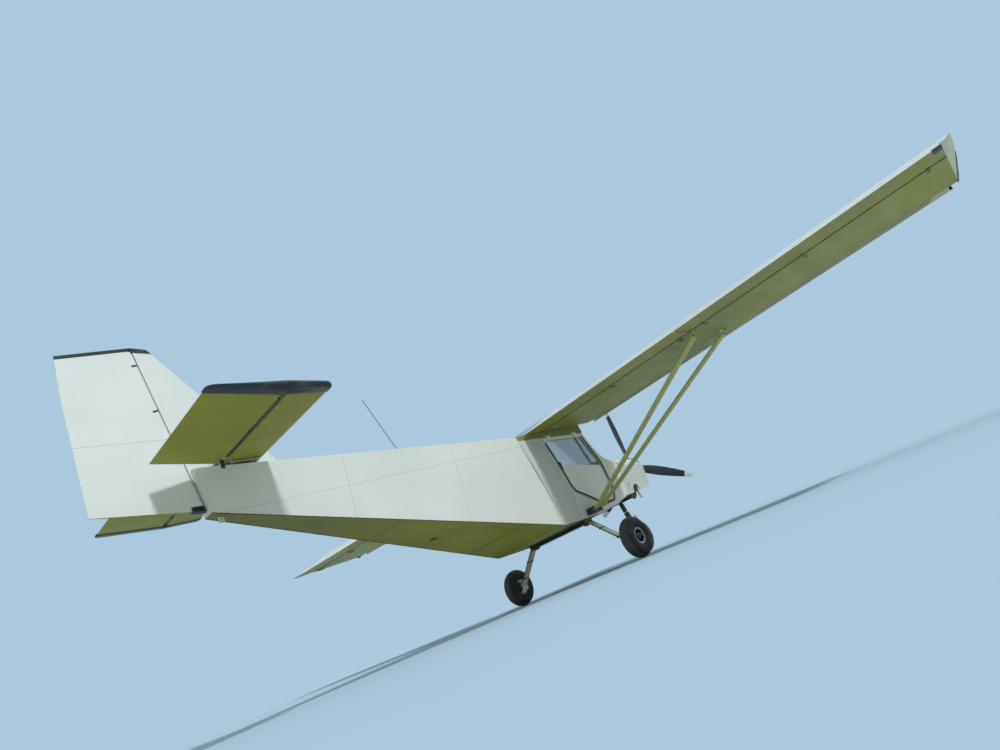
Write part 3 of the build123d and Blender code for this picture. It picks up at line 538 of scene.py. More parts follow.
def satin_metal(name, colour, roughness=0.38, metallic=0.75, brushed=(1, 1, 1), wear=0.3):
    """Bare or thinly painted metal with fine scratches and rubbed, darker places"""
    f = Finish(name, colour, roughness, metallic)
    grain = f.noise(60.0, 4.0, brushed)
    rubbed = f.ramp(f.noise(9.0, 4.0), 0.45, 0.75)
    clean = f.mix(grain, shade(colour, 0.86), shade(colour, 1.1))
    f.colour(f.mix(f.times(rubbed, wear), clean, shade(colour, 0.45)))
    f.rough_by(grain, roughness - 0.1, roughness + 0.14)
    f.raise_by(grain, 0.0002)
    return f.finished(0.35)


def dark_paint(name, colour=(0.025, 0.028, 0.03), roughness=0.42, dusty=0.4):
    """Paint or plastic, mostly dark, dusty in patches and finely pebbled"""
    f = Finish(name, colour, roughness)
    dust = f.ramp(f.noise(7.0, 5.0), 0.5, 0.8)
    f.colour(f.mix(f.times(dust, dusty), colour, (0.13, 0.13, 0.12)))
    f.put("Roughness", f.ramp(dust, 0, 1, roughness, roughness + 0.2))
    f.raise_by(f.noise(420.0, 2.0), 0.0002)
    return f.finished(0.4)


def tyre_rubber(name, centre):
    """Dusty rubber with tread grooves round the tyre and fine rings on its sidewalls"""
    f = Finish(name, (0.022, 0.022, 0.023), 0.72)
    far = f.from_axle(centre)[2]
    y = f.size(f.minus(f.y, centre[1]))
    tread = f.ramp(far, 0.178, 0.186)
    grooves = f.most(f.line(y, 0.008, 0.0035), f.most(f.line(y, 0.026, 0.0035), f.line(y, 0.043, 0.003)))
    f.raise_by(f.times(grooves, tread), -0.006)
    sidewall = f.times(f.ramp(far, 0.1, 0.104), f.ramp(far, 0.15, 0.154, 1, 0))
    f.raise_by(f.times(f.lines(far, 0.006, 0.1, 0.0012), sidewall), 0.0012)
    dust = f.ramp(f.noise(18.0, 5.0), 0.42, 0.7)
    share = f.add(f.times(dust, 0.35), f.times(tread, 0.45))
    f.colour(f.mix(share, (0.02, 0.02, 0.021), (0.1, 0.098, 0.09)))
    f.raise_by(f.noise(300.0, 2.0), 0.0002)
    return f.finished(0.6)


def wheel_casting(name, centre):
    """Cast wheel half: a light machined flange round a dark, dusty hub with five spokes"""
    f = Finish(name, (0.5, 0.51, 0.52), 0.34, 0.6)
    x, z, far = f.from_axle(centre)
    spokes = f.math("SINE", f.times(f.math("ARCTAN2", z, x), 5.0))
    grain = f.noise(70.0, 4.0)
    cast = f.mix(f.ramp(spokes, 0.1, 0.5), (0.05, 0.052, 0.052), (0.2, 0.21, 0.21))
    flange = f.mix(grain, (0.3, 0.32, 0.32), (0.46, 0.48, 0.48))
    f.colour(f.mix(f.ramp(far, 0.062, 0.066), cast, flange))
    f.rough_by(grain, 0.28, 0.5)
    f.raise_by(grain, 0.0002)
    return f.finished(0.4)


def clear_sheet(name, painted_below=None):
    """Clear acrylic with faint rub marks, painted over below a line that starts at x, z and falls forwards"""
    f = Finish(name, GLASS_TINT, 0.05)
    edge = f.node("LayerWeight")
    edge.inputs["Blend"].default_value = 0.25
    smear = f.ramp(f.noise(5.0, 5.0, (1, 1, 3)), 0.5, 0.85)
    see = f.ramp(edge.outputs["Fresnel"], 0.0, 1.0, 0.03, 0.5, "LINEAR")
    alpha = f.add(see, f.times(smear, 0.02))
    rough = f.ramp(smear, 0, 1, 0.03, 0.16)
    if painted_below:
        start_x, start_z, fall = painted_below
        level = f.minus(start_z, f.times(f.minus(f.x, start_x), fall))
        paint = f.ramp(f.minus(level, f.z), 0.0, 0.003)
        # The painted part of the door glass is lighter than the skin by 1.12: painted highlight
        f.colour(f.mix(paint, GLASS_TINT, upper_paint(f, shade(options().skin_colour, 1.12))[0]))
        alpha = f.most(alpha, paint)
        rough = f.most(rough, f.times(paint, 0.36))
    f.put("Alpha", alpha)
    f.put("Roughness", rough)
    return f.finished()


def woven_cloth(name, colour):
    """Woven seat cloth: fine crossing threads, a faint fleck and lighter rubbed crowns"""
    f = Finish(name, colour, 0.88)
    warp, weft = (f.math("SINE", f.times(axis, 2400)) for axis in (f.x, f.y))
    fleck = f.ramp(f.noise(320.0, 2.0), 0.45, 0.65)
    rubbed = f.ramp(f.noise(6.0, 4.0), 0.45, 0.75)
    base = f.mix(f.times(fleck, 0.5), colour, shade(colour, 1.9))
    f.colour(f.mix(f.times(rubbed, 0.25), base, shade(colour, 2.4)))
    f.raise_by(f.times(warp, weft), 0.0005)
    f.put("Sheen Weight", 0.35)
    f.put("Sheen Roughness", 0.5)
    return f.finished(0.5)


def leaf_spring():
    """Spring leaf: pale legs, and dark olive where the leaf runs under the belly, a painted shade and painted
    reflection of green ground
    """
    f = Finish("leaf_spring", (0.5, 0.51, 0.43), 0.42, 0.3)
    grain = f.noise(60.0, 4.0, (1, 0.3, 0.3))
    legs = f.mix(grain, (0.54, 0.55, 0.42), (0.66, 0.67, 0.54))
    middle = f.mix(grain, (0.15, 0.16, 0.022), (0.19, 0.2, 0.03))
    # Dark olive under the belly: painted shade and painted reflection of green ground
    f.colour(f.mix(f.ramp(f.size(f.y), 0.43, 0.45), middle, legs))
    f.rough_by(grain, 0.34, 0.56)
    f.raise_by(grain, 0.0002)
    return f.finished(0.35)


def heated_steel():
    """Stainless pipe with straw and blue heat bands"""
    f = Finish("heated_steel", (0.2, 0.18, 0.16), 0.35, 0.8)
    band = f.noise(9.0, 3.0, (1, 3, 1))
    warm = f.mix(f.ramp(band, 0.4, 0.6), (0.24, 0.22, 0.2), (0.2, 0.14, 0.08))
    f.colour(f.mix(f.ramp(band, 0.6, 0.75), warm, (0.1, 0.11, 0.16)))
    f.raise_by(f.noise(150.0, 3.0), 0.0002)
    return f.finished(0.4)


def bright_pipe():
    """Bare bright steel pipe, lightly stained"""
    steel = (0.75, 0.76, 0.74)
    f = Finish("bright_pipe", steel, 0.3, 0.55)
    stain = f.ramp(f.noise(24.0, 4.0), 0.5, 0.8)
    f.colour(f.mix(f.times(stain, 0.5), steel, (0.3, 0.26, 0.2)))
    f.raise_by(f.noise(200.0, 2.0), 0.0001)
    return f.finished(0.4)


def engine_casting():
    """Dark cast block with cooling fins along its sides; its near black is partly painted shade of the cowl's
    dark inside
    """
    f = Finish("engine_casting", (0.035, 0.035, 0.037), 0.6, 0.4)
    f.raise_by(f.lines(f.z, 0.012, 0.0, 0.004), 0.004)
    oil = f.ramp(f.noise(12.0, 4.0), 0.5, 0.8)
    f.colour(f.mix(oil, (0.045, 0.045, 0.047), (0.015, 0.014, 0.012)))
    f.raise_by(f.noise(160.0, 3.0), 0.0004)
    return f.finished(0.6)


def radiator_core():
    """Fine fins across a dark core"""
    f = Finish("radiator_core", (0.05, 0.05, 0.052), 0.5, 0.6)
    grid = f.most(f.lines(f.y, 0.003, 0.0, 0.001), f.lines(f.z, 0.012, 0.0, 0.002))
    f.raise_by(grid, 0.002)
    f.colour(f.mix(grid, (0.02, 0.02, 0.022), (0.16, 0.16, 0.165)))
    return f.finished(0.7)


def blade_paint():
    """Dark composite blades with pale tips"""
    dark = (0.02, 0.021, 0.023)
    f = Finish("blade_paint", dark, 0.32)
    far = f.far(f.y, f.minus(f.z, PROPELLER_Z))
    specks = f.ramp(f.noise(90.0, 4.0), 0.62, 0.74)
    base = f.mix(f.times(specks, 0.3), dark, (0.1, 0.1, 0.1))
    f.colour(f.mix(f.ramp(far, 0.75, 0.752), base, (0.72, 0.74, 0.74)))
    f.raise_by(f.noise(200.0, 2.0), 0.0001)
    return f.finished(0.4)


def lamp_lens():
    """Orange ribbed lens with a faint glow"""
    f = Finish("lamp_lens", (0.75, 0.13, 0.02), 0.18)
    f.raise_by(f.lines(f.x, 0.006, 0.0, 0.002), 0.002)
    f.colour(f.mix(f.noise(30.0, 2.0), (0.8, 0.12, 0.02), (0.6, 0.09, 0.015)))
    f.put("Emission Color", (0.9, 0.2, 0.03, 1))
    f.put("Emission Strength", 0.25)
    f.put("Coat Weight", 0.6)
    return f.finished(0.5)


def screen_glass():
    """A dark glossy screen with finger marks, switched off"""
    dark = (0.012, 0.014, 0.016)
    f = Finish("screen_glass", dark, 0.08)
    marks = f.ramp(f.noise(40.0, 4.0), 0.55, 0.7)
    f.put("Roughness", f.ramp(marks, 0, 1, 0.05, 0.3))
    f.colour(f.mix(f.times(marks, 0.3), dark, (0.04, 0.045, 0.05)))
    return f.finished()


# What a user may change


def colour_option(name, use, default):
    text = "Colour of the " + use + ", linear"
    return bpy.props.FloatVectorProperty(
        name=name, description=text, subtype="COLOR", default=default, min=0, max=1)


class AircraftOptions(bpy.types.PropertyGroup):
    skin_colour: colour_option("Upper paint", "sides and tops", (0.66, 0.72, 0.70))
    # The olive under colour is a painted reflection of green ground and painted shade on faces turned down
    underside_reflection_colour: colour_option("Underside paint", "undersides", (0.25, 0.27, 0.03))
    # The struts' olive is a painted reflection of green ground
    strut_reflection_colour: colour_option("Strut paint", "lift struts", (0.42, 0.45, 0.17))
    # The tip colour, between upper and under colours, is painted shade on sloped and sideways faces
    tip_shade_colour: colour_option("Tip paint", "sloped wing tips", (0.36, 0.37, 0.25))
    trim_colour: colour_option("Trim", "tip and tail caps", (0.012, 0.018, 0.022))
    seat_colour: colour_option("Seat cloth", "seat covers", (0.045, 0.05, 0.06))
    camera_distance: bpy.props.FloatProperty(
        name="Camera distance", description="From the camera to the middle of the aircraft, on the level",
        default=6.0, min=4, unit="LENGTH")
    camera_height: bpy.props.FloatProperty(
        name="Camera height", description="Lens above the floor", default=0.12, min=0.05, unit="LENGTH")
    camera_roll: bpy.props.FloatProperty(
        name="Camera roll", description="Turn of the picture", default=radians(-23), subtype="ANGLE")


def options():
    return bpy.context.scene.aircraft_options


def dress(finish, *nodes):
    """Give CAD nodes their finish in every material slot"""
    for name in nodes:
        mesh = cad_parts[name].data
        if not mesh.materials:
            mesh.materials.append(finish)
        for i in range(len(mesh.materials)):
            mesh.materials[i] = finish


# Masks that the painted sheets take


def gear_brown_patch(f):
    """A brown patch behind and beside the starboard end of the gear beam"""
    across = f.math("DIVIDE", f.add(f.y, 0.36), 0.15)
    along = f.math("DIVIDE", f.minus(f.x, 0.9), 0.34)
    spread = f.add(f.times(across, across), f.times(along, along))
    return f.times(f.ramp(spread, 0.1, 1.0, 1, 0), f.ramp(f.noise(7.0, 4.0), 0.3, 0.6, 0.5, 0.9))


def aileron_black(f):
    return f.times(f.ramp(f.size(f.y), 4.44, 4.445), f.ramp(f.x, 0.5, 0.52, 1, 0))


def tail_black(f):
    """The ends of the tailplane, and a dark line along its hinge that is the painted shade of the hinge gap
    """
    far = f.size(f.y)
    # Painted shade of the hinge gap
    hinge = f.times(f.line(f.x, ELEVATOR_HINGE_X, 0.016), f.ramp(far, 0.24, 0.25))
    return f.most(f.ramp(far, 1.168, 1.17), hinge)


def fin_black(f):
    """The top of fin and rudder, level on the fin and falling behind it, and the rudder's foot"""
    behind = f.math("MINIMUM", f.minus(f.x, RUDDER_POST_X), 0.0)
    top = f.ramp(f.minus(f.z, f.times(behind, 0.132)), 2.704, 2.707)
    return f.most(top, f.times(f.ramp(f.z, 1.47, 1.475, 1, 0), f.ramp(f.x, -2.56, -2.54)))


class AIRCRAFT_OT_skins(bpy.types.Operator):
    """Paint the wings, fuselage and tail"""

    bl_idname = "aircraft.skins"
    bl_label = "Sheet metal skins"

    def execute(self, context):
        o = options()
        tips = o.tip_shade_colour
        wing = painted_sheet("wing_sheet", (0.03, 0.31, 0.0026, 0.6), (("x", 0.985), ("y", 1.5), ("y", 3.0)))
        dress(wing, "wing_left", "wing_right")
        # The sloped tip faces take the tip colour: painted shade
        tip = painted_sheet("tip_sheet", (0.03, 0.6, 0.0022, 0.6), black=lambda f: f.ramp(f.x, 1.533, 1.536),
                            under=tips, turn=(-0.4, -0.2))
        dress(tip, "wing_tips")
        # Slat and control surface end faces take the tip colour: painted shade
        slat = painted_sheet("slat_sheet", (0.03, 0.62, 0.0024, 0.6), stains=0.6, ends=tips,
                             black=lambda f: f.ramp(f.size(f.y), 4.425, 4.43))
        dress(slat, "slat_left", "slat_right")
        rear = painted_sheet("surface_sheet", (0.03, 0.235, 0.0024, 0.6), black=aileron_black, ends=tips)
        dress(rear, "flap_left", "flap_right", "aileron_left", "aileron_right")
        body = painted_sheet(
            "fuselage_sheet", (0.035, 0.255, 0.0026, 0.5, 0.0, 0.06),
            (("x", -0.44), ("x", -1.44), ("z", 1.38)), stains=0.8,
            brown_mask=lambda f: f.ramp(f.x, -1.9, 0.1, 0.45, 0))
        dress(body, "rear_fuselage")
        front = painted_sheet("cabin_sheet", CABIN_RIVETS, stains=0.7, brown_mask=gear_brown_patch)
        dress(front, "door_sills", "forward_sides", "scuttle_deck", "cabin_floor")
        # The ribs' side faces are dark olive brown: painted shade
        dress(painted_sheet("rib_sheet", CABIN_RIVETS, stains=0.7, ends=(0.2, 0.21, 0.08)), "roof_ribs")
        # Tone 0.84 darkens the cabin side behind the doors: painted shadow of the wing
        shadowed_quarter = painted_sheet("shadowed_quarter_sheet", CABIN_RIVETS, stains=0.9, tone=0.84)
        dress(shadowed_quarter, "rear_sides", "quarter_windows")
        # The cowl's faces turned down take the under colour at 0.8, darker towards the chin's front by
        # brown_mask: painted shade on the chin
        cowl = painted_sheet(
            "cowl_shell", stains=0.5, turn=(-0.3, -0.23), tone=0.8, under=shade(o.underside_reflection_colour, 0.8),
            brown_mask=lambda f: f.ramp(f.x, 2.45, 2.7, 0.1, 0.6))
        dress(cowl, "cowl_upper", "cowl_lower")
        tail = painted_sheet("tailplane_sheet", (0.03, 0.19, 0.0024, 0.5), black=tail_black)
        dress(tail, "stabilizer", "elevator", "trim_tab")
        fin_rivets = (0.03, 0.5, 0.0024, 0.26)
        fin = painted_sheet("fin_sheet", fin_rivets, (("z", 1.99),), black=fin_black, stains=0.5)
        dress(fin, "fin", "rudder")
        # Strut olive: painted reflection of green ground
        strut = satin_metal("strut_paint", o.strut_reflection_colour, 0.45, 0.1, (0.2, 0.2, 0.2), 0.15)
        dress(strut, "front_struts", "rear_struts")
        return {"FINISHED"}


class AIRCRAFT_OT_running_gear(bpy.types.Operator):
    """Finish the wheels, legs, engine, propeller, glazing and cabin nodes"""

    bl_idname = "aircraft.running_gear"
    bl_label = "Gear, engine and glazing finishes"

    def execute(self, context):
        o = options()
        for name, side in LEFT_RIGHT:
            dress(tyre_rubber("tyre_" + name, main_wheel(side)), "main_tyre_" + name)
            dress(wheel_casting("main_rim_" + name + "_casting", main_wheel(side)), "main_rim_" + name)
        dress(tyre_rubber("tyre_nose", NOSE_WHEEL), "nose_tyre")
        dress(wheel_casting("nose_rim_casting", NOSE_WHEEL), "nose_rim")
        dress(leaf_spring(), "main_gear_spring")
        dress(satin_metal("fork_metal", (0.52, 0.53, 0.52), 0.35, 0.6), "nose_fork", "pitot_tube")
        dark = dark_paint("frame_paint", (0.03, 0.03, 0.032))
        dress(dark, "strut_brackets", "nose_leg_housing", "control_stick", "seat_frames")
        dress(dark_paint("antenna_paint", (0.02, 0.022, 0.025)), "antenna")
        # The beam is olive on all but its top, a painted reflection of green ground, and black on its aft
        # face, a painted shadow
        beam = painted_sheet(
            "beam_shade_paint", under=shade(o.underside_reflection_colour, 0.8), turn=(0.5, 0.6),
            black=lambda f: f.ramp(f.facing("x"), -0.7, -0.4, 1, 0))
        dress(beam, "gear_beam")
        # Tone 1.12 makes the door frames lighter than the skin: painted highlight
        doors = painted_sheet("door_highlight_paint", (0.03, 5.0, 0.002, 5.0), stains=0.4, tone=1.12)
        dress(doors, "door_frame_left", "door_frame_right")
        dress(heated_steel(), "exhaust")
        dress(engine_casting(), "engine_block")
        dress(blade_paint(), "propeller")
        dress(dark_paint("spinner_paint", (0.03, 0.032, 0.035), 0.3), "spinner")
        dress(lamp_lens(), "chin_lamp")
        dress(dark_paint("panel_paint", (0.09, 0.095, 0.1), 0.5), "instrument_panel")
        # The firewall is near black as painted shade, so the inside of the cowl reads dark
        dress(dark_paint("firewall_shade_paint", (0.02, 0.02, 0.021), 0.6, 0.15), "firewall")
        dress(clear_sheet("cabin_acrylic"), "windscreen", "roof_window")
        dress(clear_sheet("door_acrylic", DOOR_PAINT_LINE), "door_window_left", "door_window_right")
        dress(woven_cloth("seat_cloth", o.seat_colour), "seat_cushions", "seat_backs")
        return {"FINISHED"}


# Pieces


def stud_shape():
    """A low domed fastener head with a raised bar, modelled once at the origin along z"""
    head = lid(0.005, 0.0035, (0.0006, 0.0016, 0.0019), 12)
    return joined([head, block((-0.004, -0.0005, 0.0012), (0.004, 0.0005, 0.0021), 0.0002)])


def domed(piece, end, depth, pivot, corner):
    """Draw the flat port end of a piece out into a rounded cap that shrinks towards a pivot"""
    pick(piece)
    enter_mesh()
    shape = choose(
        piece, "FACE", lambda face: face.normal.y > 0.9 and face.calc_center_median().y > end)
    length = max(abs(v.co.x - pivot.x) for v in shape.verts)
    turns = [radians(17.4 * i) for i in range(6)]
    for now, then in zip(turns, turns[1:]):
        shorten = (length - corner * (1 - cos(then))) / (length - corner * (1 - cos(now)))
        reach = depth * (sin(then) - sin(now))
        bpy.ops.mesh.extrude_region_move(TRANSFORM_OT_translate={"value": (0, reach, 0)})
        bpy.ops.transform.resize(value=(shorten, 1, cos(then) / cos(now)), center_override=pivot)
    leave_mesh()


class AIRCRAFT_OT_tail_caps(bpy.types.Operator):
    """Domed black ends of tailplane and elevator, fin cap, trim horn, elevator arm and tailplane mounts"""

    bl_idname = "aircraft.tail_caps"
    bl_label = "Tail caps and fittings"

    def execute(self, context):
        cap = dark_paint("tail_cap_paint", options().trim_colour, 0.35)
        for node, body in (("stabilizer", "airframe"), ("elevator", "elevator_body")):
            left = skin_of(node, within(y=(1.172, None)), 0.005)
            domed(left, 1.203, 0.052, Vector((ELEVATOR_HINGE_X, 1.2, 1.757)), 0.075)
            settle([left, other_side(left)], node + "_end_caps", cap, body, 50)
        settle(skin_of("fin", within(z=(2.7, None)), 0.004), "fin_cap", cap, angle=50)
        horn = block((-2.83, 0.455, 1.724), (-2.8, 0.459, 1.76), 0.001)
        horn_paint = dark_paint("horn_paint", (0.5, 0.52, 0.5), 0.4)
        settle(horn, "trim_horn", horn_paint, "elevator_body")
        arm = [
            block((-2.365, -0.2, 1.662), (-2.336, -0.192, 1.735)),
            bar((-2.351, -0.205, 1.675), (-2.351, -0.187, 1.675), 0.006, 12, 0.001)]
        arm_paint = dark_paint("arm_paint", (0.04, 0.042, 0.045))
        settle(arm, "elevator_arm", arm_paint, "elevator_body")
        for name, side in LEFT_RIGHT:
            ends = [surface("stabilizer", (x, side * 0.17, 1), UP)[0] for x in (-2.27, -2.08)]
            rod = [bar(*(end + Vector((0, 0, -0.018)) for end in ends), 0.0045, 12)]
            for end in ends:
                ear = end + Vector((-0.012, -0.006, -0.026)), end + Vector((0.012, 0.006, 0.002))
                rod.append(block(*ear, 0.0015))
            metal = satin_metal("mount_" + name, (0.4, 0.4, 0.38))
            settle(rod, "tail_mount_" + name, metal)
        return {"FINISHED"}


class AIRCRAFT_OT_belly(bpy.types.Operator):
    """Stiffeners, laps, corner beads and a drain cover under the fuselage"""

    bl_idname = "aircraft.belly"
    bl_label = "Belly strips"

    def execute(self, context):
        strip = satin_metal("belly_strip_paint", (0.12, 0.105, 0.035), 0.5, 0.1, (0.2, 1, 1), 0.25)
        # The laps take a darker copy of the under colour: painted reflection of green ground and painted
        # shade
        lap = satin_metal("belly_lap_paint", shade(options().underside_reflection_colour, 0.72), 0.5, 0.1, (1, 0.2, 1), 0.2)
        for name, y, half, thick in (
                ("keel", 0.0, 0.016, 0.012), ("stringer_left", 0.24, 0.009, 0.006),
                ("stringer_right", -0.24, 0.009, 0.006)):
            piece = skin_of("cabin_floor", within(y=(y - half, y + half), x=(1.115, 2.05)), thick, DOWN, 0.6)
            settle(piece, "belly_" + name, strip)
        for name, x in (("front", 0.12), ("rear", -1.08)):
            piece = skin_of("rear_fuselage", within(x=(x - 0.014, x + 0.014)), 0.0012, DOWN, 0.6)
            settle(piece, "belly_lap_" + name, lap)
        edge = ((AXLE_X - 3.482, 0.06, 1.4), (AXLE_X - 0.48, 0.51, 0.545), (AXLE_X + 0.1, 0.51, 0.545),
                (AXLE_X + 0.6, 0.435, 0.597), (AXLE_X + 1.04, 0.325, 0.68))
        for name, side in LEFT_RIGHT:
            line = [Vector((x, side * y, z)) for x, y, z in edge]
            bead = [bar(a, b, 0.0035, 8) for a, b in zip(line, line[1:])]
            settle(bead, "chine_bead_" + name, dark_paint("bead_" + name, (0.045, 0.048, 0.02)))
        place = surface("rear_fuselage", (-0.5, 0.12, -1), UP)[0]
        cover = copies(lid(0.05, 0.047, (0.002, 0.003, 0.0034), 40), [standing(place, DOWN)])
        settle(cover, "belly_cover", lap)
        return {"FINISHED"}


class AIRCRAFT_OT_wheel_trim(bpy.types.Operator):
    """Rolled rims, bolts, caps, valves, brake discs and calipers"""

    bl_idname = "aircraft.wheel_trim"
    bl_label = "Wheel trim"

    def execute(self, context):
        bright = satin_metal("wheel_trim_metal", (0.38, 0.39, 0.4), 0.4, 0.6)
        dark = satin_metal("hub_metal", (0.07, 0.07, 0.075), 0.42, 0.6)
        disc_metal = satin_metal("brake_disc_steel", (0.4, 0.4, 0.4), 0.25, 1.0, (1, 4, 1), 0.15)
        caliper_paint = dark_paint("caliper_paint", (0.05, 0.05, 0.055))
        lip = [(0.068, 0.049), (0.08, 0.049), (0.082, 0.052), (0.08, 0.0545), (0.071, 0.0535),
               (0.068, 0.0515)]
        for body, centre in (
                ("main_wheel_left", main_wheel(1)), ("main_wheel_right", main_wheel(-1)),
                ("nose_wheel", NOSE_WHEEL)):
            centre = Vector(centre)
            rings = [turned(lip, centre, (0, side, 0), 48) for side in BOTH_ENDS]
            settle(rings, body + "_rim_lips", bright, body)
            bolts = []
            for side in BOTH_ENDS:
                for i in range(6):
                    turn = i * pi / 3
                    foot = centre + Vector((0.045 * cos(turn), side * 0.006, 0.045 * sin(turn)))
                    bolts.append(bar(foot, foot + Vector((0, side * 0.009, 0)), 0.006, 6, 0.0008))
            valve = centre + Vector((0.052, 0.006, -0.01))
            bolts.append(bar(valve, valve + Vector((0, 0.03, -0.004)), 0.003, 12, 0.0006))
            settle(bolts, body + "_bolts", dark, body)
        x = AXLE_X - 0.062
        for name, side in LEFT_RIGHT:
            centre = main_wheel(side)
            flat = [(0.034, 0.046), (0.066, 0.058), (0.066, 0.062), (0.034, 0.062)]
            disc = turned(flat, centre, (0, -side, 0), 48)
            settle(disc, "brake_disc_" + name, disc_metal, "main_wheel_" + name)
            caliper = [
                block((AXLE_X - 0.077, side * 0.779, 0.176), (AXLE_X - 0.048, side * 0.806, 0.224), 0.003),
                *[bar((x, side * 0.772, z), (x, side * 0.78, z), 0.007, 6, 0.001) for z in (0.188, 0.212)],
                block((AXLE_X - 0.07, side * 0.768, 0.18), (AXLE_X - 0.035, side * 0.7795, 0.22))]
            settle(caliper, "brake_caliper_" + name, caliper_paint)
            dome = [(0, 0.058), (0.021, 0.058), (0.021, 0.064), (0.014, 0.071), (0, 0.073)]
            settle(turned(dome, centre, (0, side, 0), 24), "axle_cap_" + name, dark)
        return {"FINISHED"}


class AIRCRAFT_OT_leg_trim(bpy.types.Operator):
    """Brake lines, bands and clamps on the main legs, and the nose leg's rubber discs and nuts"""

    bl_idname = "aircraft.leg_trim"
    bl_label = "Leg trim"

    def execute(self, context):
        hose = dark_paint("brake_hose", (0.02, 0.02, 0.022), 0.5)
        steel = satin_metal("leg_fittings", (0.45, 0.45, 0.44), 0.3, 0.9)
        run = ((0.79, 0.222), (0.772, 0.236), (0.73, 0.24), (0.66, 0.303), (0.56, 0.396), (0.47, 0.478),
               (0.42, 0.512), (0.34, 0.53))
        for name, side in LEFT_RIGHT:
            line = pipe([(AXLE_X - 0.047, side * y, z) for y, z in run], 0.0035)
            settle(line, "brake_line_" + name, hose)
            bands = []
            for share in (0.2, 0.66):
                place = (AXLE_X - 0.002, side * (0.764 - 0.334 * share), 0.205 + 0.31 * share)
                band = block((-0.051, -0.006, -0.0105), (0.046, 0.006, 0.0105), 0.0015)
                lean = Matrix.Rotation(radians(-42.86) * side, 4, "X")
                band.matrix_world = Matrix.Translation(place) @ lean
                bands.append(band)
            settle(bands, "leg_bands_" + name, hose)
            clamp = [
                block((AXLE_X - 0.03, side * 0.36, 0.492), (AXLE_X + 0.03, side * 0.4, 0.5085)),
                *[bar((x, side * 0.38, 0.484), (x, side * 0.38, 0.494), 0.008, 6, 0.001)
                  for x in (AXLE_X - 0.018, AXLE_X + 0.018)]]
            settle(clamp, "leg_clamp_" + name, hose)
        ring = ((0.0205, 0), (0.033, 0.003), (0.036, 0.011), (0.033, 0.019), (0.0205, 0.022))
        feet = (0.262, 0.287, 0.312)
        rubber = joined([turned([(r, foot + z) for r, z in ring], steps=32) for foot in feet])
        rubber.matrix_world = NOSE_LEG
        settle(rubber, "nose_leg_rubbers", hose, "nose_steering")
        nuts = []
        for side in BOTH_ENDS:
            nuts.append(bar((0, side * 0.089, 0), (0, side * 0.099, 0), 0.019, 6, 0.0015))
            for x in (0.012, -0.014):
                nuts.append(bar((x, side * 0.075, 0.25), (x, side * 0.075, 0.262), 0.008, 6, 0.001))
        nuts = joined(nuts)
        nuts.matrix_world = NOSE_LEG
        settle(nuts, "nose_leg_nuts", steel, "nose_steering")
        return {"FINISHED"}


class AIRCRAFT_OT_strut_fittings(bpy.types.Operator):
    """Bolts and nuts at both ends of the lift struts"""

    bl_idname = "aircraft.strut_fittings"
    bl_label = "Strut fittings"

    def execute(self, context):
        steel = satin_metal("strut_fitting_steel", (0.42, 0.42, 0.4), 0.3, 0.85)
        for name, side in LEFT_RIGHT:
            parts = []
            for x, y in ((0.985, 2.472), (0.375, 2.45)):
                for low, high, radius, sides, edge in (
                        (-0.014, 0.014, 0.0055, 12, 0.001), (-0.0135, -0.0075, 0.011, 6, 0.0008),
                        (0.0075, 0.0135, 0.011, 6, 0.0008)):
                    ends = (on_wing(x, y + shift, -0.014, side) for shift in (low, high))
                    parts.append(bar(*ends, radius, sides, edge))
            for shift in (-0.048, 0.048):
                foot = Vector((AXLE_X - 0.03 + shift, side * 0.622, 0.596))
                for low, high, radius, sides in (
                        (-0.026, 0.026, 0.006, 12), (-0.026, -0.02, 0.0115, 6), (0.022, 0.028, 0.0115, 6)):
                    ends = (foot + Vector((x, -side * 0.012, 0)) for x in (low, high))
                    parts.append(bar(*ends, radius, sides, 0.001))
            settle(parts, "strut_bolts_" + name, steel)
        return {"FINISHED"}


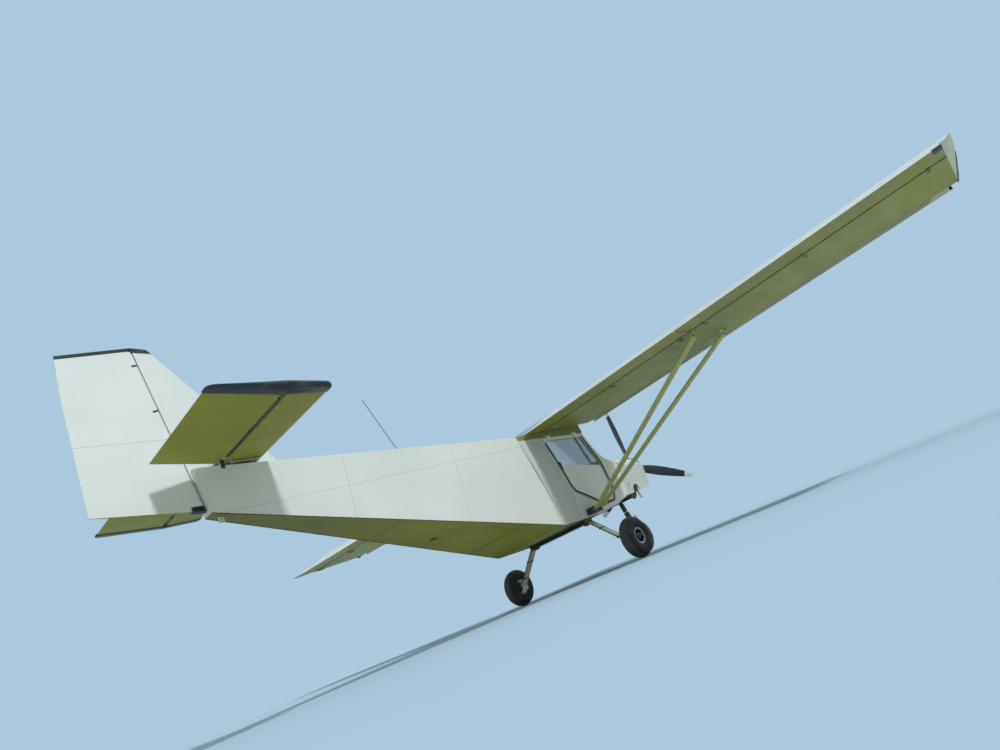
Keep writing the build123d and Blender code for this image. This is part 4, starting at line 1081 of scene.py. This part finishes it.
class AIRCRAFT_OT_cowl_trim(bpy.types.Operator):
    """The cowl's fasteners, rear band, oil door, latch, radiator, hoses, outlet shroud and bright pipe"""

    bl_idname = "aircraft.cowl_trim"
    bl_label = "Cowl trim"

    def execute(self, context):
        steel = satin_metal("fastener_steel", (0.5, 0.5, 0.5), 0.3, 0.9)
        places = []
        for i in range(9):
            for side in BOTH_ENDS:
                for node, z in (("cowl_upper", 0.978), ("cowl_lower", 0.942)):
                    places.append(seated(node, 2.125 + i * 0.086, z, side))
        for i in range(11):
            turn = radians(4 + 17.2 * i)
            out = Vector((0, cos(turn), sin(turn)))
            places.append(standing(*surface("cowl_upper", Vector((2.105, 0, 0.975)) + out * 2, -out)))
        for i in range(4):
            for side in BOTH_ENDS:
                places.append(seated("cowl_lower", 2.105, 0.72 + 0.062 * i, side))
        settle(copies(stud_shape(), places), "cowl_fasteners", steel)
        paint = painted_sheet("cowl_door_paint", turn=(-2.0, -1.9), stains=0.4, tone=0.8)
        bands = []
        for node in ("cowl_upper", "cowl_lower"):
            band = skin_of(node, within(x=(None, 2.098)), 0.0015, lift=0.002)
            for vertex in band.data.vertices:
                if vertex.co.x < 2.094:
                    vertex.co.x = 2.073
            bands.append(band)
        band_paint = painted_sheet("cowl_band_paint", stains=0.4, turn=(-0.3, -0.23), tone=0.9)
        settle(bands, "cowl_band", band_paint)
        lid_planes = within(x=(2.3, 2.46), y=(-0.26, -0.12), z=(1.05, None))
        settle(skin_of("cowl_upper", lid_planes, 0.0018, UP, 0.2), "oil_door", paint)
        core = radiator_core()
        settle(block((2.79, -0.17, 0.792), (2.812, 0.17, 0.884)), "radiator_core", core)
        rubber = dark_paint("hose_rubber", (0.02, 0.02, 0.021), 0.55)
        hoses = [pipe(points, radius, 4) for points, radius in (
            ([(2.78, 0.13, 0.82), (2.7, 0.15, 0.8), (2.55, 0.19, 0.78), (2.4, 0.2, 0.8), (2.3, 0.17, 0.86)],
             0.017),
            ([(2.78, -0.13, 0.82), (2.68, -0.16, 0.79), (2.56, -0.2, 0.79), (2.45, -0.2, 0.86)], 0.017),
            ([(2.09, 0.16, 0.78), (2.16, 0.17, 0.76), (2.26, 0.12, 0.77), (2.34, 0.1, 0.85)], 0.011))]
        settle(hoses, "engine_hoses", rubber)
        black = dark_paint("shroud_paint", (0.012, 0.012, 0.013), 0.5)
        settle(outlet_shroud(), "outlet_shroud", black)
        # A near-black sheet laid on the cowl's side round the outlet: the painted shade of the outlet opening
        low, high, top = 2.285, 2.43, 0.782
        planes = within(x=(low, high), z=(None, top), y=(None, -0.24))
        planes += [((low, 0, top - 0.035), (1, 0, -1)), ((high, 0, top - 0.05), (-1, 0, -1))]
        settle(skin_of("cowl_lower", planes, 0.0025), "outlet_shade_plate", black, angle=50)
        tube = [(0.0135, 0), (0.0165, 0), (0.0175, 0.006), (0.0175, 0.15), (0.0135, 0.15)]
        stack = [
            turned(tube, (2.392, -0.285, 0.755), (0.12, -0.05, -1), 28),
            block((2.372, -0.3, 0.735), (2.416, -0.262, 0.741), 0.001)]
        settle(stack, "breather_pipe", bright_pipe())
        ring = [(0.012, -0.001), (0.02, -0.001), (0.02, 0.002), (0.016, 0.004), (0.012, 0.003)]
        latch = copies(turned(ring, steps=28), [seated("cowl_lower", 2.19, 0.79, -1)])
        settle(latch, "cowl_latch", steel)
        vent = block((-0.055, -0.012, -0.003), (0.055, 0.012, 0.01), 0.004)
        vent.matrix_world = Matrix.Translation(surface("scuttle_deck", (1.72, -0.44, 2), DOWN)[0])
        settle(vent, "scuttle_vent", black)
        return {"FINISHED"}


def outlet_shroud():
    """A sheet lip hanging round the engine outlet and the nose leg, open below"""
    rear, front = (2.14, 0.252), (2.45, 0.236)
    bpy.ops.mesh.primitive_cube_add(size=1, location=ORIGIN)
    piece = bpy.context.object
    for vertex in piece.data.vertices:
        x, half = front if vertex.co.x > 0 else rear
        upper = vertex.co.z > 0
        side = 1 if vertex.co.y > 0 else -1
        vertex.co = (x, half * side * (1 if upper else 0.94), 0.712 if upper else 0.655)
    enter_mesh()
    choose(piece, "FACE", lambda face: abs(face.normal.z) > 0.8)
    bpy.ops.mesh.delete(type="FACE")
    choose(piece, "EDGE", lambda edge: abs(edge.verts[0].co.z - edge.verts[1].co.z) > 0.02)
    bpy.ops.mesh.bevel(offset=0.03, segments=5, affect="EDGES")
    leave_mesh()
    modify(piece, "SOLIDIFY", thickness=0.003)
    return piece


class AIRCRAFT_OT_door_trim(bpy.types.Operator):
    """Door levers, hinge screws and edge rubbers, and the painted posts at the windscreen's sides"""

    bl_idname = "aircraft.door_trim"
    bl_label = "Door and windscreen trim"

    def execute(self, context):
        black = dark_paint("lever_plastic", (0.02, 0.02, 0.022), 0.35)
        rubber = dark_paint("seal_rubber", (0.007, 0.007, 0.008), 0.7, 0.08)
        steel = satin_metal("door_screws", (0.5, 0.5, 0.5), 0.3, 0.9)
        paint = painted_sheet("post_paint", (0.04, 5.0, 0.003, 5.0), turn=(-2.0, -1.9), stains=0.4)
        for name, side in LEFT_RIGHT:
            door, node = "door_" + name, "door_frame_" + name
            y = surface(node, (0.783, side * 2, 1.14), (0, -side, 0))[0].y
            lever = [
                bar((0.783, y, 1.14), (0.783, y + side * 0.012, 1.14), 0.011, 20, 0.0015),
                block((0.772, y + side * 0.008, 1.06), (0.794, y + side * 0.016, 1.152), 0.003)]
            settle(lever, "door_lever_" + name, black, door)
            places = [seated(node, AXLE_X + x + shift, 1.405, side) @ Matrix.Scale(0.6, 4)
                      for x in (-0.26, 0.19) for shift in (-0.018, 0.018)]
            settle(copies(stud_shape(), places), "door_screws_" + name, steel, door)
            settle(door_seal(node, side), "door_seal_" + name, rubber, door)
            post = skin_of("windscreen", [((0, side * 0.505, 0), (0, side, 0))], 0.002, (0, side, 0), 0.5)
            settle(post, "screen_post_" + name, paint)
        return {"FINISHED"}


def door_seal(node, side):
    """Rubber edge laid on a door's face, from its top rear corner round the sill to its top front corner"""
    middle = Vector((0.12, 1.02))
    inner = [Vector(p) + (middle - Vector(p)).normalized() * 0.015 for p in DOOR_OUTLINE]
    places = []
    for here, there in zip(inner, inner[1:]):
        for share in (0.08, 0.36, 0.64, 0.92):
            x, z = here.lerp(there, share)
            place, normal = surface(node, (AXLE_X + x, side * 2, z), (0, -side, 0))
            places.append(place + normal * 0.001)
    return pipe(places, 0.009)


class AIRCRAFT_OT_cabin(bpy.types.Operator):
    """Dials, screen, knobs, pedals, tubes and grips inside the cabin"""

    bl_idname = "aircraft.cabin"
    bl_label = "Cabin fittings"

    def execute(self, context):
        black = dark_paint("dial_bezel", (0.018, 0.018, 0.02), 0.35)
        face_paint = dark_paint("dial_face", (0.01, 0.01, 0.011), 0.55)
        white = dark_paint("dial_marks", (0.75, 0.75, 0.72), 0.5)
        tube_paint = dark_paint("tube_paint", (0.05, 0.052, 0.056), 0.4)
        x = PANEL_X
        bezels, faces, marks = [], [], []
        for z, r, row in (
                (1.065, 0.039, (0.42, 0.325, 0.23)), (0.972, 0.039, (0.36, 0.265, 0.17)),
                (1.085, 0.026, (-0.22, -0.29, -0.36, -0.43)), (1.02, 0.026, (-0.22, -0.29, -0.36))):
            rim = [(r - 0.003, 0), (r + 0.005, 0), (r + 0.005, 0.006), (r, 0.009), (r - 0.003, 0.008)]
            for y in row:
                bezels.append(turned(rim, (x, y, z), (-1, 0, 0), 28))
                faces.append(bar((x, y, z), (x - 0.002, y, z), r - 0.002, 28))
                for i in range(9):
                    tick = block((-0.0005, r * 0.72, -0.0008), (0.0, r * 0.92, 0.0008), 0.0001)
                    marks.append(on_dial(tick, (x - 0.0021, y, z), -30 + 30 * i))
                needle = block((-0.0005, -r * 0.15, -0.001), (0.0002, r * 0.68, 0.001), 0.0001)
                marks.append(on_dial(needle, (x - 0.0026, y, z), 200 * y + 300 * z))
        settle(bezels, "dial_bezels", black)
        settle(faces, "dial_faces", face_paint)
        settle(marks, "dial_marks", white)
        screen = block((x - 0.012, -0.13, 0.99), (x - 0.0005, 0.1, 1.115), 0.003)
        settle(screen, "panel_screen", screen_glass())
        knobs = []
        for y in (0.02, -0.04, -0.1, 0.08):
            foot = (x, y, 0.95)
            knobs.append(bar(foot, (x - 0.03, y, 0.95), 0.004, 12))
            head = [(0, 0.028), (0.012, 0.03), (0.013, 0.042), (0.009, 0.047), (0, 0.048)]
            knobs.append(turned(head, foot, (-1, 0, 0), 20))
        settle(knobs, "panel_knobs", black)
        leg = ((1.64, 0.34, 1.115), (1.56, 0.36, 1.26), (1.46, 0.4, 1.43), (1.34, 0.44, 1.62))
        runs = [[(x, side * y, z) for x, y, z in leg] for side in BOTH_ENDS]
        runs.append([(1.34, 0.44, 1.62), (1.345, 0.15, 1.66), (1.345, -0.15, 1.66), (1.34, -0.44, 1.62)])
        settle([pipe(run, 0.013, 4) for run in runs], "cabin_tubes", tube_paint)
        pedals = []
        for side in BOTH_ENDS:
            for shift in (-0.07, 0.07):
                y = side * 0.2 + shift
                pedals.append(bar((1.9, y - 0.045, 0.78), (1.9, y + 0.045, 0.78), 0.011, 16, 0.001))
                pedals.append(bar((1.9, y, 0.78), (1.93, y, 0.68), 0.007, 12))
        settle(pedals, "rudder_pedals", tube_paint)
        grip = [(0.0112, 0), (0.016, 0.002), (0.0165, 0.02), (0.0145, 0.03), (0.0165, 0.042), (0.0145, 0.054),
                (0.0165, 0.066), (0.015, 0.08), (0.0112, 0.084)]
        grips = [turned(grip, (1.2715, side * 0.024, 0.87), (0, side, 0), 24) for side in BOTH_ENDS]
        settle(grips, "stick_grips", black)
        return {"FINISHED"}


def on_dial(mark, centre, degrees):
    """Turn a mark about the middle of its dial"""
    mark.matrix_world = Matrix.Translation(centre) @ Matrix.Rotation(radians(degrees), 4, "X")
    return mark


class AIRCRAFT_OT_wing_fittings(bpy.types.Operator):
    """Tip caps, hinge brackets, inspection covers and fuel caps on the wings"""

    bl_idname = "aircraft.wing_fittings"
    bl_label = "Wing fittings"

    def execute(self, context):
        o = options()
        left = skin_of("wing_tips", within(x=(1.535, None), y=(1, None)), 0.004)
        tip_paint = dark_paint("tip_cap_paint", o.trim_colour, 0.35)
        settle([left, other_side(left)], "wing_tip_caps", tip_paint, angle=50)
        brackets = []
        for y in (0.709, 1.5045, 2.3, 2.562, 3.471, 4.38):
            brackets.append(block((0.388, y - 0.013, -0.006), (0.452, y + 0.013, 0.003)))
            brackets.append(block((0.33, y - 0.0025, -0.022), (0.44, y + 0.0025, 0.002)))
        covers = [
            lid(0.045, 0.041, (0.0012, 0.002, 0.0022), 36, (0.72, y, 0.0), DOWN) for y in (1.2, 2.6, 3.4)]
        cap = [(0, -0.004), (0.034, -0.004), (0.034, 0.002), (0.03, 0.005), (0.012, 0.006), (0, 0.006)]
        caps = [
            turned(cap, (0.875, 1.05, 0.235), steps=36),
            block((0.853, 1.046, 0.24), (0.897, 1.054, 0.245), 0.0015)]
        # Hinge brackets and covers are olive like the underside: painted reflection of green ground
        bracket_paint = satin_metal("bracket_paint", (0.3, 0.31, 0.17), 0.5, 0.1)
        cover_reflection_paint = satin_metal("cover_reflection_paint", shade(o.underside_reflection_colour, 0.97), 0.5, 0.1)
        cap_metal = satin_metal("fuel_cap_metal", (0.5, 0.5, 0.52), 0.3, 0.9)
        for parts, name, finish, slot in (
                (brackets, "hinge_brackets", bracket_paint, "underside_olive"),
                (covers, "wing_covers", cover_reflection_paint, "underside_olive"),
                (caps, "fuel_caps", cap_metal, "gear_metal")):
            shape = joined(parts)
            left = copy_at(shape, WING)
            right = other_side(left)
            settle(left, name + "_left", finish)
            settle(right, name + "_right", finish)
            drop(shape)
        return {"FINISHED"}


class AIRCRAFT_OT_cushions(bpy.types.Operator):
    """Padded seat cushions and backs, swollen from the CAD pads, with lap belts and buckles"""

    bl_idname = "aircraft.cushions"
    bl_label = "Seat pads"

    def execute(self, context):
        cloth = woven_cloth("seat_cover", options().seat_colour)
        for name, side in LEFT_RIGHT:
            for part, node in (("cushion", "seat_cushions"), ("back", "seat_backs")):
                pad = seat_pad(node, side)
                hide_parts(node)
                settle(pad, "seat_" + part + "_" + name, cloth, angle=180)
        buckle_metal = satin_metal("buckle_steel", (0.45, 0.45, 0.45), 0.28, 0.9)
        webbing = woven_cloth("belt_webbing", (0.03, 0.032, 0.04))
        half = [(0.62, 0.19, 0.72), (0.72, 0.14, 0.722), (0.82, 0.06, 0.724), (0.86, 0, 0.726)]
        for name, side in LEFT_RIGHT:
            y = side * 0.262
            run = [(x, y - side * out, z) for x, out, z in half]
            run += [(x, y + side * out, z) for x, out, z in half[2::-1]]
            settle(strap(run, 0.045), "lap_belt_" + name, webbing)
            buckle = block((0.835, y - 0.03, 0.724), (0.885, y + 0.03, 0.736), 0.003)
            settle(buckle, "belt_buckle_" + name, buckle_metal)
        return {"FINISHED"}


def strap(points, width):
    """A flat strap along points, its width level and across its run"""
    fresh()
    bpy.ops.mesh.primitive_grid_add(x_subdivisions=len(points) * 4 - 4, y_subdivisions=2, size=1)
    piece = bpy.context.object
    line = [Vector(p) for p in points]
    last = len(line) - 1
    for vertex in piece.data.vertices:
        t = (vertex.co.x + 0.5) * last
        i = min(int(t), last - 1)
        here = line[i].lerp(line[i + 1], t - i)
        run = (line[min(i + 2, last)] - line[max(i - 1, 0)]).normalized()
        across = run.cross(Vector(UP)).normalized()
        vertex.co = here + across * vertex.co.y * width
    modifier = piece.modifiers.new("webbing", "SOLIDIFY")
    modifier.thickness = 0.002
    modifier.offset = 0
    return piece


def seat_pad(node, side):
    """One pad of a CAD node, shrunk a little and swollen by a short cloth run, with rounded, full sides"""
    pad = own_copy(node + "_pad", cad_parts[node].data)
    pick(pad)
    enter_mesh()
    bpy.ops.mesh.remove_doubles(threshold=MERGE)
    bpy.ops.mesh.select_all(action="SELECT")
    bpy.ops.mesh.bisect(plane_co=ORIGIN, plane_no=(0, side, 0), clear_inner=True)
    bpy.ops.mesh.select_all(action="SELECT")
    bpy.ops.transform.shrink_fatten(value=-SWELL * 0.7, use_even_offset=True)
    leave_mesh()
    modify(pad, "REMESH", mode="VOXEL", voxel_size=0.007)
    rest = [v.co.copy() for v in pad.data.vertices]
    cloth = pad.modifiers.new("swell", "CLOTH")
    cloth.settings.use_pressure = True
    cloth.settings.uniform_pressure_force = 4
    cloth.settings.effector_weights.gravity = 0
    scene = bpy.context.scene
    for step in range(1, 21):
        scene.frame_set(step)
    bpy.ops.object.modifier_apply(modifier=cloth.name)
    scene.frame_set(1)
    for vertex, start in zip(pad.data.vertices, rest):
        move = vertex.co - start
        if move.length > SWELL:
            vertex.co = start + move * (SWELL / move.length)
    modify(pad, "SUBSURF", levels=1, render_levels=1)
    return pad


# Stage


def seen_rays(tree):
    """1 for rays from the camera, from a reflection or through glass, and 0 for light that things share"""
    path = tree.nodes.new("ShaderNodeLightPath")
    share = path.outputs["Is Camera Ray"]
    for ray in ("Is Glossy Ray", "Is Transmission Ray"):
        either = tree.nodes.new("ShaderNodeMath")
        either.operation = "MAXIMUM"
        tree.links.new(share, either.inputs[0])
        tree.links.new(path.outputs[ray], either.inputs[1])
        share = either.outputs[0]
    return share


def blended(tree, share, a, b, output):
    """Mix two shaders by a share and send them to an output node"""
    blend = tree.nodes.new("ShaderNodeMixShader")
    for source, socket in zip((share, a.outputs[0], b.outputs[0]), blend.inputs):
        tree.links.new(source, socket)
    tree.links.new(blend.outputs[0], tree.nodes[output].inputs["Surface"])


def studio_floor():
    """Pale floor, seen in the backdrop's colour with its shadow. It bounces plain light and fades far away"""
    f = Finish("studio_floor", FLOOR_BOUNCE, 0.95)
    f.put("Specular IOR Level", 0.0)
    seen = f.mix(f.noise(0.5, 3.0), shade(FLOOR_SEEN, 0.985), shade(FLOOR_SEEN, 1.015))
    f.colour(f.mix(seen_rays(f.tree), FLOOR_BOUNCE, seen))
    glow = f.node("Emission")
    glow.inputs["Color"].default_value = (*BACKDROP, 1)
    blended(f.tree, f.ramp(f.far(f.x, f.y), *FLOOR_FADE), f.shader, glow, "Material Output")
    return f.finished()


class AIRCRAFT_OT_stage(bpy.types.Operator):
    """Pale floor, soft lamps and the camera at floor level behind the starboard wing"""

    bl_idname = "aircraft.stage"
    bl_label = "Floor, lamps and camera"

    def execute(self, context):
        fresh()
        bpy.ops.mesh.primitive_circle_add(
            vertices=96, radius=FLOOR_RADIUS, fill_type="NGON", location=(0, 0, -0.0005))
        floor = bpy.context.object
        floor.name = "studio_floor"
        floor.data.materials.append(studio_floor())

        world = bpy.data.worlds.new("studio_air")
        context.scene.world = world
        world.use_nodes = True
        tree = world.node_tree
        light = tree.nodes["Background"]
        light.inputs["Color"].default_value = (0.9, 0.95, 1.0, 1)
        light.inputs["Strength"].default_value = 0.42
        seen = tree.nodes.new("ShaderNodeBackground")
        seen.inputs["Color"].default_value = (*BACKDROP, 1)
        blended(tree, seen_rays(tree), light, seen, "World Output")

        for name, towards, spread, strength in (
                ("key_lamp", (0.09, 0.72, -0.62), 6, 2.05),
                ("fill_lamp", (-0.7, 0.25, -0.6), 60, 0.3),
                ("back_lamp", (0.1, -0.8, -0.75), 60, 0.35)):
            fresh()
            bpy.ops.object.light_add(type="SUN", location=(0, 0, 8))
            lamp = bpy.context.object
            lamp.name = name
            lamp.data.angle = radians(spread)
            lamp.data.energy = strength
            lamp.rotation_euler = Vector(towards).to_track_quat("-Z", "Y").to_euler()

        o = options()
        middle = Vector((0.1, -0.1, 1.28))
        away = Vector((-0.717, -0.697, 0)) * o.camera_distance
        aim_at = Vector((0.463, -0.557, 2.179))
        fresh()
        bpy.ops.object.camera_add()
        camera = bpy.context.object
        camera.name = "photo_camera"
        camera.location = (middle.x + away.x, middle.y + away.y, o.camera_height)
        aim = (aim_at - camera.location).to_track_quat("-Z", "Y").to_matrix().to_4x4()
        roll = Matrix.Rotation(o.camera_roll, 4, "Z")
        camera.matrix_world = Matrix.Translation(camera.location) @ aim @ roll
        camera.data.lens = LENS_MM
        camera.data.sensor_width = SENSOR_MM
        camera.data.clip_end = 400
        bpy.context.scene.camera = camera
        bpy.context.scene.view_settings.view_transform = "Standard"
        return {"FINISHED"}


STEPS = (
    AIRCRAFT_OT_skins, AIRCRAFT_OT_running_gear, AIRCRAFT_OT_tail_caps, AIRCRAFT_OT_belly,
    AIRCRAFT_OT_wheel_trim, AIRCRAFT_OT_leg_trim, AIRCRAFT_OT_strut_fittings, AIRCRAFT_OT_cowl_trim,
    AIRCRAFT_OT_door_trim, AIRCRAFT_OT_cabin, AIRCRAFT_OT_wing_fittings, AIRCRAFT_OT_cushions,
    AIRCRAFT_OT_stage)


class AIRCRAFT_PT_panel(bpy.types.Panel):
    """Lists the options and the steps that dress the aircraft"""

    bl_idname = "AIRCRAFT_PT_panel"
    bl_label = "Light aircraft"
    bl_space_type = "VIEW_3D"
    bl_region_type = "UI"
    bl_category = "Aircraft"

    def draw(self, context):
        column = self.layout.column()
        for name in AircraftOptions.__annotations__:
            column.prop(context.scene.aircraft_options, name)
        for step in STEPS:
            column.operator(step.bl_idname)


CLASSES = (AircraftOptions, *STEPS, AIRCRAFT_PT_panel)


def register():
    for kind in CLASSES:
        bpy.utils.register_class(kind)
    bpy.types.Scene.aircraft_options = bpy.props.PointerProperty(type=AircraftOptions)


def unregister():
    del bpy.types.Scene.aircraft_options
    for kind in reversed(CLASSES):
        bpy.utils.unregister_class(kind)


def main():
    register()
    bpy.ops.aircraft.skins()
    bpy.ops.aircraft.running_gear()
    bpy.ops.aircraft.tail_caps()
    bpy.ops.aircraft.belly()
    bpy.ops.aircraft.wheel_trim()
    bpy.ops.aircraft.leg_trim()
    bpy.ops.aircraft.strut_fittings()
    bpy.ops.aircraft.cowl_trim()
    bpy.ops.aircraft.door_trim()
    bpy.ops.aircraft.cabin()
    bpy.ops.aircraft.wing_fittings()
    bpy.ops.aircraft.cushions()
    bpy.ops.aircraft.stage()
    fresh()


if __name__ == "__main__":
    main()
